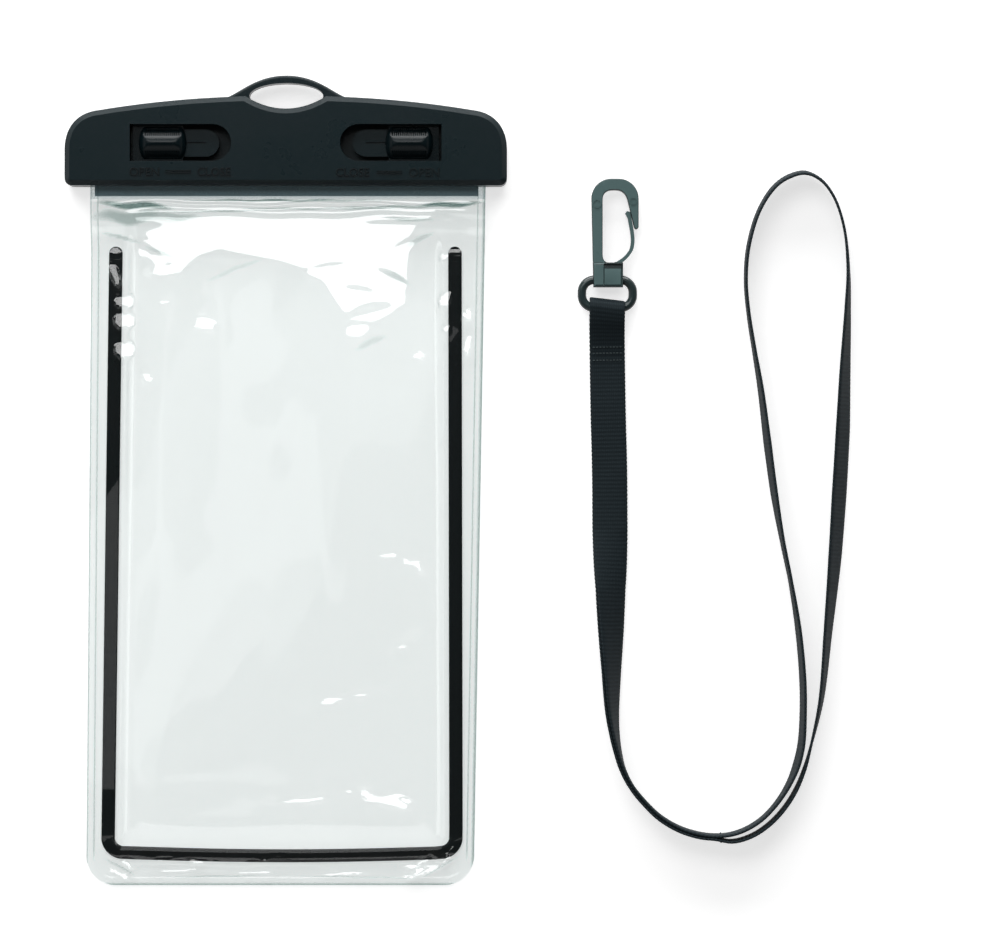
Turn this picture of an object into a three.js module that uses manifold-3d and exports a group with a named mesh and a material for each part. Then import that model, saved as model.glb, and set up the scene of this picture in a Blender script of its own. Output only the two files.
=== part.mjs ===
// A waterproof phone pouch with its neck strap lying unclipped beside it.
// Millimetres. The pouch lies on its back: +Z faces up, +Y runs towards the hanging loop, z = 0 is the table.
import * as THREE from 'three';
import { mergeVertices } from 'three/addons/utils/BufferGeometryUtils.js';
import Module from 'manifold-3d';

const wasm = await Module();
wasm.setup();

// Clearances
const gap = 0.3;
const slideGap = 0.4;
const roundGap = 0.45;

// Closure outline
const railHalf = 60.0;
const railBottomY = 80.2;
const railSideTopY = railBottomY + 9.7;
const shoulder = { x: 50.9, y: railBottomY + 20.4, bowX: 5.2, bowY: 0.6, sideBow: 6.6 };
const crown = { x: 16.0, y: railBottomY + 24.0, bow: 0.7 };
const railCorner = 2.2;
const railChamfer = 1.4;
const rearThick = 5.0;
const frontThick = 5.7;
const lipDrop = 2.6;
const lipInset = 7.8;
const lipDepth = 1.6;
const rearBevel = 0.84;

// Hanging loop
const eye = { half: 10.05, y: crown.y + 0.5, rise: 3.5, drop: 3.4 };
const arch = { half: 17.5, wall: 2.1, root: 2.0, underZ: 0.4, raise: 1.2, bevel: 0.7, flare: 4.2, springY: 0.2 };
const scoop = { margin: 0.9, rise: 0.2, clear: 0.25 };

// Films
const film = 0.3;
const filmTop = { left: -53.3, right: 54.2 };
const filmFoot = { left: -54.8, right: 50.9 };
const filmFootY = -110.3;
const filmCorner = 8.0;
const filmSeatDepth = 0.7;
const filmSeatLength = 2.8;
const windowLift = 5.5;
const mouthRampStartY = 60.0;

// Black frame strip on the window
const strip = { width: 3.7, thick: 0.5, topY: 64.0, cornerRadius: 4.2, footY: -101.3, footTilt: 15 };
const stripLeft = { topX: -46.7, footX: -48.9 };
const stripRight = { topX: 45.8, footX: 46.1 };
const slopeWidth = 4.6;
const footSlopeWidth = 9.0;

// Latches
const latch = { windowOuter: 42.25, windowInner: 14.75, y: railBottomY + 11.55, windowHeight: 10.0 };
const knob = { outerGap: 2.35, length: 12.9, width: 8.7, crestZ: 11.6, edgeZ: 9.8, ribs: 18, ribHeight: 0.28 };
const knobRound = 0.34;
const head = { inner: 18.1, length: 9.4, width: 7.35, thick: 1.4, grooveWidth: 0.5, grooveDepth: 0.4 };
const stemWidth = 3.0;
const latchTravel = 9.5;
const lipThick = 1.1;
const rimThick = 2.0;
const flangeReach = 1.3;
const flangeThick = 1.5;
const captureStep = 1.1;
const latchEndWall = 3.7;

// Mouth seal
const seal = { y: railBottomY + 4.5, half: 54.0, tongue: 1.0, tongueDepth: 1.0, grooveWidth: 2.6, grooveDepth: 2.4, thick: 1.1 };

// Neck strap
const strap = { width: 9.6, thick: 0.8, layerGap: 0.3, floor: 0.05 };
const ring = { x: 87.35, topY: 54.85, footY: 47.2, half: 6.93, wire: 2.4, corner: 3.4, z: 2.7 };

// Snap hook
const hook = { left: 82.97, right: 95.84, topY: 82.3, spine: 3.07, thick: 4.0, headRadius: 5.4, noseY: 68.6, bevel: 0.3 };
const neck = { left: 83.5, right: 91.6, footWall: 0.55, topY: 59.5, wall: 0.9, boreGap: 0.3 };
const gate = { x: 89.8, y: 58.5, knuckle: 1.2, pin: 0.5, thick: 3.0, blade: 1.0 };

// Heights of the layers in the closed mouth
const rearSeatZ = rearThick - filmSeatDepth;
const rearFilmMouthZ = rearSeatZ + gap;
const frontFilmMouthZ = rearFilmMouthZ + film + gap;
const frontSeatZ = frontFilmMouthZ + film + gap;
const frontUnderZ = rearThick + gap;
const faceZ = frontUnderZ + frontThick;

// Heights of the latch layers
const lipUnderZ = frontUnderZ + gap;
const headUnderZ = lipUnderZ + lipThick + gap;
const headTopZ = headUnderZ + head.thick;
const knobUnderZ = headTopZ + gap;
const rimUnderZ = faceZ - rimThick;
const flangeTopZ = rimUnderZ - gap;
const flangeUnderZ = flangeTopZ - flangeThick;
const ledgeZ = flangeUnderZ - gap;

// Geometry helpers

const farAway = 200;

function solidOf(geometry) {
  const bare = geometry.clone();
  bare.deleteAttribute('normal');
  bare.deleteAttribute('uv');
  const merged = mergeVertices(bare, 1e-4);
  return new wasm.Manifold(new wasm.Mesh({
    numProp: 3,
    vertProperties: Float32Array.from(merged.attributes.position.array),
    triVerts: Uint32Array.from(merged.index.array),
  }));
}

function pieceOf(name, solid, material) {
  const mesh = solid.getMesh();
  const geometry = new THREE.BufferGeometry();
  geometry.setAttribute('position', new THREE.BufferAttribute(Float32Array.from(mesh.vertProperties), 3));
  geometry.setIndex(new THREE.BufferAttribute(Uint32Array.from(mesh.triVerts), 1));
  geometry.computeVertexNormals();
  const piece = new THREE.Mesh(geometry, material);
  piece.name = name;
  return piece;
}

function block(x0, x1, y0, y1, z0, z1) {
  const geometry = new THREE.BoxGeometry(x1 - x0, y1 - y0, z1 - z0);
  geometry.translate((x0 + x1) / 2, (y0 + y1) / 2, (z0 + z1) / 2);
  return solidOf(geometry);
}

function slab(shape, z0, z1, curveSegments = 10) {
  const geometry = new THREE.ExtrudeGeometry(shape, { depth: z1 - z0, bevelEnabled: false, curveSegments });
  geometry.translate(0, 0, z0);
  return solidOf(geometry);
}

// A slab whose upper (and, if asked, lower) edge is rounded off inwards, or chamfered with one segment.
function roundedSlab(shape, z0, z1, bevel, bothSides, curveSegments = 10, bevelSegments = 3) {
  const low = bothSides ? z0 : z0 - 2 * bevel;
  const geometry = new THREE.ExtrudeGeometry(shape, {
    depth: z1 - low - 2 * bevel,
    bevelThickness: bevel,
    bevelSize: bevel,
    bevelOffset: -bevel,
    bevelSegments,
    curveSegments,
  });
  geometry.translate(0, 0, low + bevel);
  const solid = solidOf(geometry);
  if (bothSides) {
    return solid;
  }
  return solid.subtract(block(-farAway, farAway, -farAway, farAway, low - 1, z0));
}

function rodAlongX(x0, x1, y, z, radius, sides = 20) {
  const geometry = new THREE.CylinderGeometry(radius, radius, x1 - x0, sides);
  geometry.rotateZ(Math.PI / 2);
  geometry.translate((x0 + x1) / 2, y, z);
  return solidOf(geometry);
}

function rodAlongZ(x, y, z0, z1, radius, sides = 20) {
  const geometry = new THREE.CylinderGeometry(radius, radius, z1 - z0, sides);
  geometry.rotateX(Math.PI / 2);
  geometry.translate(x, y, (z0 + z1) / 2);
  return solidOf(geometry);
}

function smooth(value, from, to) {
  return THREE.MathUtils.smoothstep(value, from, to);
}

// A flat band swept along a route, whose width direction is given at each of its points.
class BandRoute extends THREE.Curve {
  constructor(points, widths) {
    super();
    this.centre = new THREE.CatmullRomCurve3(points, false, 'centripetal');
    this.widths = widths;
  }

  getPoint(t, target = new THREE.Vector3()) {
    return this.centre.getPoint(t, target);
  }

  // Every span between two given points gets as many steps as the next.
  getUtoTmapping(u) {
    return u;
  }

  computeFrenetFrames(segments) {
    const frames = { tangents: [], normals: [], binormals: [] };
    const last = this.widths.length - 1;
    for (let i = 0; i <= segments; i += 1) {
      const u = i / segments;
      const at = this.getUtoTmapping(u) * last;
      const k = Math.min(Math.floor(at), last - 1);
      const tangent = this.getTangentAt(u);
      const normal = this.widths[k].clone().lerp(this.widths[k + 1], at - k);
      normal.addScaledVector(tangent, -normal.dot(tangent)).normalize();
      frames.tangents.push(tangent);
      frames.normals.push(normal);
      frames.binormals.push(tangent.clone().cross(normal));
    }
    return frames;
  }
}

function bandAlong(points, widths, width, thick, stepsPerSpan) {
  const section = new THREE.Shape();
  section.moveTo(-width / 2, -thick / 2);
  section.lineTo(width / 2, -thick / 2);
  section.lineTo(width / 2, thick / 2);
  section.lineTo(-width / 2, thick / 2);
  section.closePath();
  return solidOf(new THREE.ExtrudeGeometry(section, {
    steps: (points.length - 1) * stepsPerSpan,
    bevelEnabled: false,
    extrudePath: new BandRoute(points, widths),
  }));
}

// Materials

function finish(color, roughness, metalness = 0) {
  return new THREE.MeshStandardMaterial({ color, roughness, metalness });
}

const railPlastic = finish(0x22292a, 0.55);
const latchPlastic = finish(0x262d2e, 0.45);
const sealRubber = finish(0x3a4040, 0.8);
const clearFilm = new THREE.MeshStandardMaterial({ color: 0xe6eeec, roughness: 0.12, transparent: true, opacity: 0.3 });
const blackStrip = finish(0x141a1a, 0.35);
const webbing = finish(0x1c2223, 0.85);
const hookPlastic = finish(0x252c2d, 0.5);

// Closure outlines

function sideAndShoulder(shape, side) {
  shape.bezierCurveTo(
    side * railHalf, railSideTopY + shoulder.sideBow,
    side * (shoulder.x + shoulder.bowX), shoulder.y - shoulder.bowY,
    side * shoulder.x, shoulder.y,
  );
}

function railOutline(middle) {
  const shape = new THREE.Shape();
  shape.moveTo(-railHalf + railCorner, railBottomY);
  shape.lineTo(railHalf - railCorner, railBottomY);
  shape.quadraticCurveTo(railHalf, railBottomY, railHalf, railBottomY + railCorner);
  shape.lineTo(railHalf, railSideTopY);
  sideAndShoulder(shape, 1);
  shape.quadraticCurveTo((shoulder.x + crown.x) / 2, crown.y - crown.bow, crown.x, crown.y);
  middle(shape);
  shape.lineTo(-crown.x, crown.y);
  shape.quadraticCurveTo(-(shoulder.x + crown.x) / 2, crown.y - crown.bow, -shoulder.x, shoulder.y);
  shape.bezierCurveTo(
    -shoulder.x - shoulder.bowX, shoulder.y - shoulder.bowY,
    -railHalf, railSideTopY + shoulder.sideBow,
    -railHalf, railSideTopY,
  );
  shape.lineTo(-railHalf, railBottomY + railCorner);
  shape.quadraticCurveTo(-railHalf, railBottomY, -railHalf + railCorner, railBottomY);
  return shape;
}

// The front rail dips in a scoop below the eye, so that the eye stays open.
function scoopedMiddle(shape) {
  const x = eye.half + scoop.margin;
  const top = crown.y + scoop.rise;
  const low = eye.y - eye.drop - scoop.clear;
  shape.lineTo(x, top);
  shape.quadraticCurveTo(0, 2 * low - top, -x, top);
}

function eyeOutline(margin) {
  const points = [];
  const count = 40;
  for (let i = 0; i < count; i += 1) {
    const angle = (2 * Math.PI * i) / count;
    const reach = Math.sin(angle) > 0 ? eye.rise : eye.drop;
    const x = (eye.half + margin) * Math.cos(angle);
    const y = eye.y + (reach + margin) * Math.sin(angle);
    points.push(new THREE.Vector2(x, y));
  }
  return new THREE.Shape(points);
}

function archOutline() {
  const top = eye.y + eye.rise + arch.wall;
  const root = crown.y - arch.root;
  const spring = crown.y - arch.springY;
  const shape = new THREE.Shape();
  shape.moveTo(-arch.half, root);
  shape.lineTo(arch.half, root);
  shape.lineTo(arch.half, spring);
  shape.bezierCurveTo(arch.half - arch.flare, eye.y, arch.half * 0.52, top, 0, top);
  shape.bezierCurveTo(-arch.half * 0.52, top, -arch.half + arch.flare, eye.y, -arch.half, spring);
  shape.closePath();
  return shape;
}

// A latch window or a post head: square at its outer end, round at its inner end.
function latchOutline(side, outer, inner, height) {
  const half = height / 2;
  const turn = inner + half;
  const shape = new THREE.Shape();
  shape.moveTo(side * outer, latch.y - half);
  shape.lineTo(side * turn, latch.y - half);
  shape.absarc(side * turn, latch.y, half, -Math.PI / 2, Math.PI / 2, side > 0);
  shape.lineTo(side * outer, latch.y + half);
  shape.closePath();
  return shape;
}

// Builds a block from distances to the middle of the pouch, on its left (-1) or right (+1) half.
function sideBlock(side, outer, inner, halfHeight, z0, z1) {
  const x0 = side < 0 ? -outer : inner;
  const x1 = side < 0 ? -inner : outer;
  return block(x0, x1, latch.y - halfHeight, latch.y + halfHeight, z0, z1);
}

const headOuter = head.inner + head.length;
const plateInner = headOuter + slideGap;
const knobOuter = latch.windowOuter - knob.outerGap;
const slotOuter = plateInner + latchTravel + slideGap;
const plateOuter = slotOuter + latchEndWall;
const headRoom = head.width / 2 + gap;
const flangeHalf = latch.windowHeight / 2 + flangeReach;
const legHalf = flangeHalf - captureStep;

// Rear rail, with the loop, the two headed posts and the seal groove

function latchPost(side) {
  const post = slab(latchOutline(side, headOuter, head.inner, head.width), headUnderZ, headTopZ, 8);
  const groove = sideBlock(
    side, headOuter + 1, head.inner + head.width / 2, head.grooveWidth / 2, headTopZ - head.grooveDepth, headTopZ + 1,
  );
  const stem = sideBlock(side, headOuter, head.inner + head.width / 2, stemWidth / 2, rearThick - 1, headUnderZ + 0.5);
  return post.subtract(groove).add(stem);
}

function makeRearRail() {
  const plain = railOutline((shape) => shape.lineTo(crown.x, crown.y));
  const lipHalf = railHalf - lipInset;
  const lipSolid = block(-lipHalf, lipHalf, railBottomY - lipDrop, railBottomY + 1, rearSeatZ - lipDepth, rearSeatZ);
  const seatHalf = filmTop.right + 1.0;
  const seatTop = railBottomY + filmSeatLength + gap;
  const groove = block(
    -seal.half - gap, seal.half + gap, seal.y - seal.grooveWidth / 2, seal.y + seal.grooveWidth / 2,
    rearThick - seal.grooveDepth, rearThick + 1,
  );
  return roundedSlab(plain, 0, rearThick, rearBevel, true)
    .add(roundedSlab(archOutline(), arch.underZ, rearThick + arch.raise, arch.bevel, true, 16))
    .subtract(slab(eyeOutline(0), -1, faceZ))
    .subtract(block(-seatHalf, seatHalf, railBottomY - 1, seatTop, rearSeatZ, rearThick + 1))
    .add(lipSolid)
    .subtract(groove)
    .add(latchPost(-1))
    .add(latchPost(1));
}

// Front rail, with the two latch windows, the slider pockets under them and the sealing tongue

function makeFrontRail() {
  let rail = roundedSlab(railOutline(scoopedMiddle), frontUnderZ, faceZ, railChamfer, false, 14, 1);
  const seatHalf = filmTop.right + 1.0;
  rail = rail.subtract(block(
    -seatHalf, seatHalf, railBottomY - 1, railBottomY + filmSeatLength + gap, frontUnderZ - 1, frontSeatZ,
  ));
  for (const side of [-1, 1]) {
    const window = slab(latchOutline(side, latch.windowOuter, latch.windowInner, latch.windowHeight), 0, faceZ + 1);
    const pocketOuter = plateOuter + slideGap;
    const channel = sideBlock(side, pocketOuter, latch.windowInner, legHalf + gap, frontUnderZ - 1, rimUnderZ);
    const pocket = sideBlock(side, pocketOuter, latch.windowInner, flangeHalf + gap, ledgeZ, rimUnderZ);
    rail = rail.subtract(window).subtract(channel).subtract(pocket);
  }
  const archRoom = slab(archOutlineRoom(), frontUnderZ - 1, rearThick + arch.raise + gap);
  const tongue = block(
    -seal.half, seal.half, seal.y - seal.tongue / 2, seal.y + seal.tongue / 2,
    frontUnderZ - seal.tongueDepth, frontUnderZ + 0.5,
  );
  return rail.subtract(archRoom).add(tongue);
}

// Room under the front rail for the root of the arch, which stands a little higher than the rear rail.
function archOutlineRoom() {
  const shape = new THREE.Shape();
  const half = arch.half + gap;
  shape.moveTo(-half, crown.y - arch.root - gap);
  shape.lineTo(half, crown.y - arch.root - gap);
  shape.lineTo(half, eye.y + eye.rise);
  shape.lineTo(-half, eye.y + eye.rise);
  shape.closePath();
  return shape;
}

function makeGasket() {
  const half = seal.grooveWidth / 2 - gap;
  const under = rearThick - seal.grooveDepth + gap;
  return block(-seal.half, seal.half, seal.y - half, seal.y + half, under, under + seal.thick);
}

// A latch: a crowned grip in the window, ribbed on both flanks, on a slotted plate that slides under the rim

function fingerGrip(side) {
  const columns = 2 * knob.ribs;
  const rows = 10;
  const under = flangeTopZ - 0.5;
  const geometry = new THREE.BoxGeometry(knob.length, knob.width, 1, columns, rows, 1);
  const place = geometry.attributes.position;
  for (let i = 0; i < place.count; i += 1) {
    const x = place.getX(i);
    const u = Math.abs(x) / (knob.length / 2);
    const v = Math.abs(place.getY(i)) / (knob.width / 2);
    place.setX(i, x * Math.sqrt(1 - knobRound * v * v));
    if (place.getZ(i) < 0) {
      place.setZ(i, under);
      continue;
    }
    const fall = Math.max(v ** 2, u ** 6) * (knob.crestZ - knob.edgeZ);
    const column = Math.round((x / knob.length + 0.5) * columns);
    const rib = column % 2 === 1 && v > 0.5 && v < 1 ? knob.ribHeight : 0;
    place.setZ(i, knob.crestZ - fall + rib);
  }
  geometry.translate(side * (knobOuter - knob.length / 2), latch.y, 0);
  return solidOf(geometry);
}

function makeLatch(side) {
  const flange = sideBlock(side, plateOuter, plateInner, flangeHalf, flangeUnderZ, flangeTopZ);
  const legs = sideBlock(side, plateOuter, plateInner, legHalf, lipUnderZ, flangeTopZ);
  const headSlot = sideBlock(side, slotOuter, plateInner - 5, headRoom, headUnderZ - gap, knobUnderZ);
  const stemSlot = sideBlock(side, slotOuter, plateInner - 5, stemWidth / 2 + slideGap, 0, headUnderZ);
  return flange.add(legs).add(fingerGrip(side)).subtract(headSlot).subtract(stemSlot);
}

// The two films

function filmEdge(side, y) {
  const t = (railBottomY - y) / (railBottomY - filmFootY);
  return side < 0
    ? THREE.MathUtils.lerp(filmTop.left, filmFoot.left, t)
    : THREE.MathUtils.lerp(filmTop.right, filmFoot.right, t);
}

function stripX(side, y) {
  const ends = side < 0 ? stripLeft : stripRight;
  const t = (strip.topY - y) / (strip.topY - strip.footY);
  return THREE.MathUtils.lerp(ends.topX, ends.footX, t);
}

// How far towards the closed mouth a place lies: 0 on the table, 1 between the rails.
function mouthShare(y) {
  return smooth(y, mouthRampStartY, railBottomY - lipDrop - 1.5);
}

function rearFilmZ(y) {
  return rearFilmMouthZ * mouthShare(y);
}

// Height of the front film's underside over the table, by the distance inside the black strip's middle.
function frontFilmZ(x, y) {
  const rim = film + gap;
  const overStrip = rim + strip.thick + 2 * gap;
  const half = strip.width / 2;
  const inFromLeft = x - stripX(-1, y);
  const inFromRight = stripX(1, y) - x;
  const inFromFoot = y - strip.footY;
  const profile = (inside, slope, climb) => {
    const onStrip = smooth(inside, -half - 1.4, -half - 0.4) * (overStrip - rim);
    const above = smooth(inside, half + 0.1 - climb, half + slope) * (windowLift - overStrip);
    return rim + onStrip + above;
  };
  const sides = Math.min(profile(inFromLeft, slopeWidth, 0), profile(inFromRight, slopeWidth, 0));
  const body = Math.min(sides, profile(inFromFoot, footSlopeWidth, strip.width));
  return THREE.MathUtils.lerp(body, frontFilmMouthZ, mouthShare(y));
}

// A sheet of film on a grid: its columns keep their distance to the film's edges and to the strip.
function sheet(columnX, rowY, columns, heightAt) {
  const geometry = new THREE.BoxGeometry(1, 1, 1, columns, rowY.length - 1, 1);
  const place = geometry.attributes.position;
  for (let i = 0; i < place.count; i += 1) {
    const column = Math.round((place.getX(i) + 0.5) * columns);
    const y = rowY[Math.round((place.getY(i) + 0.5) * (rowY.length - 1))];
    const x = columnX(column, y);
    place.setXYZ(i, x, y, heightAt(x, y) + (place.getZ(i) > 0 ? film : 0));
  }
  return solidOf(geometry);
}

function filmOutline() {
  const top = railBottomY + filmSeatLength;
  const shape = new THREE.Shape();
  const left = filmFoot.left;
  const right = filmFoot.right;
  shape.moveTo(left + filmCorner, filmFootY);
  shape.lineTo(right - filmCorner, filmFootY);
  shape.quadraticCurveTo(right, filmFootY, filmEdge(1, filmFootY + filmCorner), filmFootY + filmCorner);
  shape.lineTo(filmEdge(1, top), top);
  shape.lineTo(filmEdge(-1, top), top);
  shape.lineTo(filmEdge(-1, filmFootY + filmCorner), filmFootY + filmCorner);
  shape.quadraticCurveTo(left, filmFootY, left + filmCorner, filmFootY);
  return shape;
}

function spread(from, to, count) {
  return Array.from({ length: count + 1 }, (_, i) => from + ((to - from) * i) / count);
}

function mouthRows() {
  const end = railBottomY + filmSeatLength + 1;
  return [...spread(mouthRampStartY, railBottomY - lipDrop - 1.5, 6), railBottomY - 1, end];
}

function makeRearFilm() {
  const rowY = [filmFootY - 1, ...mouthRows()];
  const grid = sheet((column) => (column - 0.5) * 2 * railHalf, rowY, 1, (x, y) => rearFilmZ(y));
  return grid.intersect(slab(filmOutline(), -2, faceZ, 8));
}

function makeFrontFilm() {
  const half = strip.width / 2;
  const steps = [-half - 1.4, -half - 0.9, -half - 0.4, half + 0.1, half + 1.2, half + 2.35, half + 3.5, half + slopeWidth];
  const footSteps = [-half - 1.4, -half - 0.9, -half - 0.4, -half + 0.5, half - 1, half + 1.5, half + 4, half + 6.5,
    half + footSlopeWidth];
  const middle = 6;
  const last = 2 * steps.length + middle;
  const columnX = (column, y) => {
    const left = stripX(-1, y);
    const right = stripX(1, y);
    if (column === 0) {
      return -railHalf;
    }
    if (column === last) {
      return railHalf;
    }
    if (column <= steps.length) {
      return left + steps[column - 1];
    }
    if (column >= last - steps.length) {
      return right - steps[last - column - 1];
    }
    const inner = steps[steps.length - 1];
    return THREE.MathUtils.lerp(left + inner, right - inner, (column - steps.length) / middle);
  };
  const plainRows = spread(strip.footY + 4 * footSlopeWidth, mouthRampStartY - strip.width, 4);
  const rowY = [filmFootY - 1, ...footSteps.map((step) => strip.footY + step), ...plainRows, ...mouthRows()];
  const grid = sheet(columnX, rowY, last, frontFilmZ);
  return grid.intersect(slab(filmOutline(), -2, faceZ, 8));
}

// The black strip runs down both sides of the window and across its foot, where it tilts up with the film.
function makeAccentFrame() {
  const r = strip.cornerRadius;
  const sideZ = film + gap + strip.thick / 2;
  const footZ = sideZ + Math.sin(THREE.MathUtils.degToRad(strip.footTilt)) * strip.width / 2;
  const stations = [];
  const turns = [0.25, 0.5, 0.75];
  const bend = strip.footY + r;
  const leg = [strip.topY, strip.topY - 2, ...spread(mouthRampStartY - 2 * strip.width, bend + 4, 4), bend];
  for (const y of leg) {
    stations.push([stripX(-1, y), y, sideZ + rearFilmZ(y), 0]);
  }
  for (const turn of turns) {
    stations.push(stripCorner(-1, turn, sideZ, footZ));
  }
  for (const x of spread(stripX(-1, strip.footY) + r, stripX(1, strip.footY) - r, 4)) {
    stations.push([x, strip.footY, footZ, -strip.footTilt]);
  }
  for (const turn of turns.toReversed()) {
    stations.push(stripCorner(1, turn, sideZ, footZ));
  }
  for (const y of leg.toReversed()) {
    stations.push([stripX(1, y), y, sideZ + rearFilmZ(y), 0]);
  }
  const points = stations.map(([x, y, z]) => new THREE.Vector3(x, y, z));
  const leans = stations.map((station) => station[3]);
  return bandAlong(points, leaningWidths(points, leans), strip.width, strip.thick, 3);
}

function stripCorner(side, turn, sideZ, footZ) {
  const angle = turn * Math.PI / 2;
  const r = strip.cornerRadius;
  const x = stripX(side, strip.footY) - side * r * (1 - Math.cos(angle));
  const y = strip.footY + r * (1 - Math.sin(angle));
  return [x, y, THREE.MathUtils.lerp(sideZ, footZ, turn), -strip.footTilt * turn];
}

// Neck strap. Its route is given as x, y and lean: 0 lies flat, 90 stands on its edge.
// The strap is one band, sewn together from the ring to where its two layers part.
const doubledRun = [
  [87.35, 47.2, 0], [87.3, 44, 0], [87.3, 40.5, 0], [87.35, 36, 0], [87.6, 19.3, 0], [88.0, 3.0, 0],
  [88.1, -13.3, 8], [88.2, -29.6, 38], [88.3, -40.5, 49], [88.4, -51.3, 62], [88.6, -62.2, 73],
  [89.1, -67.6, 79], [90.0, -73.0, 84], [91.5, -78.5, 88], [94.0, -83.4, 90], [97.5, -87.7, 90],
  [101.6, -91.6, 90], [106.9, -94.7, 90], [112.3, -96.4, 90], [116.7, -96.9, 90],
];
const looseLoop = [
  [121.0, -96.1, 90], [125.0, -94.7, 90], [128.9, -92.3, 90], [132.1, -89.2, 90], [134.9, -85.5, 89],
  [137.2, -81.4, 87], [138.9, -77.0, 84], [140.1, -71.7, 84], [140.6, -63.5, 85], [140.5, -54.0, 85],
  [139.3, -40.5, 86], [137.2, -27.4, 89], [134.9, -16.0, 88], [132.8, -3.8, 84], [130.9, 10.3, 83],
  [129.1, 24.7, 86], [127.3, 35.6, 89], [125.7, 45.9, 90], [125.0, 54.6, 90], [125.7, 63.8, 89],
  [128.6, 73.6, 88], [132.8, 80.1, 86], [136.8, 82.9, 84], [141.2, 83.9, 83], [145.5, 81.9, 84],
  [149.1, 77.1, 85], [151.8, 68.7, 86], [152.9, 57.3, 84], [152.7, 46.4, 79], [152.0, 30.1, 71],
  [151.4, 13.8, 65], [150.4, -3.8, 64], [149.2, -21.4, 67], [147.4, -40.5, 75], [145.5, -59.5, 81],
  [142.8, -71.7, 86], [141.0, -78.2, 89], [138.5, -84.2, 90], [135.3, -89.2, 90], [131.2, -93.5, 90],
  [126.4, -96.6, 90], [121.3, -98.0, 90],
];
const foldAt = 36;

function leaningWidths(points, leans) {
  return points.map((point, i) => {
    const before = points[Math.max(i - 1, 0)];
    const after = points[Math.min(i + 1, points.length - 1)];
    const right = new THREE.Vector3(after.y - before.y, before.x - after.x, 0).normalize();
    const lean = THREE.MathUtils.degToRad(leans[i]);
    return right.multiplyScalar(Math.cos(lean)).add(new THREE.Vector3(0, 0, Math.sin(lean)));
  });
}

function bandStations(route, thick) {
  const leans = route.map((station) => station[2]);
  const points = route.map(([x, y, lean]) => {
    const angle = THREE.MathUtils.degToRad(lean);
    const z = strap.floor + (thick / 2) * Math.cos(angle) + (strap.width / 2) * Math.sin(angle);
    return new THREE.Vector3(x, y, z);
  });
  return { points, widths: leaningWidths(points, leans) };
}

function makeNeckStrap() {
  const doubled = bandStations(doubledRun, 2 * strap.thick + strap.layerGap);
  const single = bandStations(looseLoop, strap.thick);
  const foldRadius = ring.wire / 2 + roundGap + strap.thick / 2;
  const layer = (strap.thick + strap.layerGap) / 2;
  const upper = [];
  const lower = [];
  doubled.points.forEach((point, i) => {
    const near = 1 - smooth(ring.footY - point.y, 0, ring.footY - foldAt);
    const before = doubled.points[Math.max(i - 1, 0)];
    const after = doubled.points[Math.min(i + 1, doubled.points.length - 1)];
    const along = new THREE.Vector3(after.x - before.x, after.y - before.y, 0).normalize();
    const face = doubled.widths[i].clone().cross(along);
    const middle = point.clone().setZ(THREE.MathUtils.lerp(point.z, ring.z, near));
    const reach = THREE.MathUtils.lerp(layer, foldRadius, near);
    upper.push(middle.clone().addScaledVector(face, reach));
    lower.push(middle.clone().addScaledVector(face, -reach));
  });
  const tabEnd = doubledRun.findIndex((station) => station[1] <= foldAt);
  const tab = lower.slice(0, tabEnd + 1).toReversed();
  const across = doubled.widths[0];
  const fold = [];
  for (const turn of [-60, -30, 0, 30, 60]) {
    const angle = THREE.MathUtils.degToRad(turn);
    const y = ring.footY + foldRadius * Math.cos(angle);
    fold.push(new THREE.Vector3(ring.x, y, ring.z + foldRadius * Math.sin(angle)));
  }
  const joint = lower[tabEnd].clone();
  joint.y -= gap + slideGap;
  const back = [...lower.slice(tabEnd + 1).toReversed(), joint];
  const backWidths = [...doubled.widths.slice(tabEnd + 1).toReversed(), across];
  const points = [...tab, ...fold, ...upper, ...single.points, ...back];
  const widths = [
    ...tab.map(() => across), ...fold.map(() => across), ...doubled.widths, ...single.widths, ...backWidths,
  ];
  return bandAlong(points, widths, strap.width, strap.thick, 3);
}

// Ring: a torus whose four quarters are moved apart, which leaves straight bars between them
function makeStrapRing() {
  const sides = 36;
  const geometry = new THREE.TorusGeometry(ring.corner, ring.wire / 2, 12, sides);
  geometry.rotateZ(Math.PI / sides);
  const place = geometry.attributes.position;
  const straightX = ring.half - ring.corner;
  const straightY = (ring.topY - ring.footY) / 2 - ring.corner;
  for (let i = 0; i < place.count; i += 1) {
    place.setX(i, place.getX(i) + Math.sign(place.getX(i)) * straightX);
    place.setY(i, place.getY(i) + Math.sign(place.getY(i)) * straightY);
  }
  geometry.translate(ring.x, (ring.topY + ring.footY) / 2, ring.z);
  return solidOf(geometry);
}

const boreRadius = ring.wire / 2 + neck.boreGap;
const neckHalf = boreRadius + neck.wall;
const neckFootY = ring.topY - boreRadius - neck.footWall;

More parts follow.
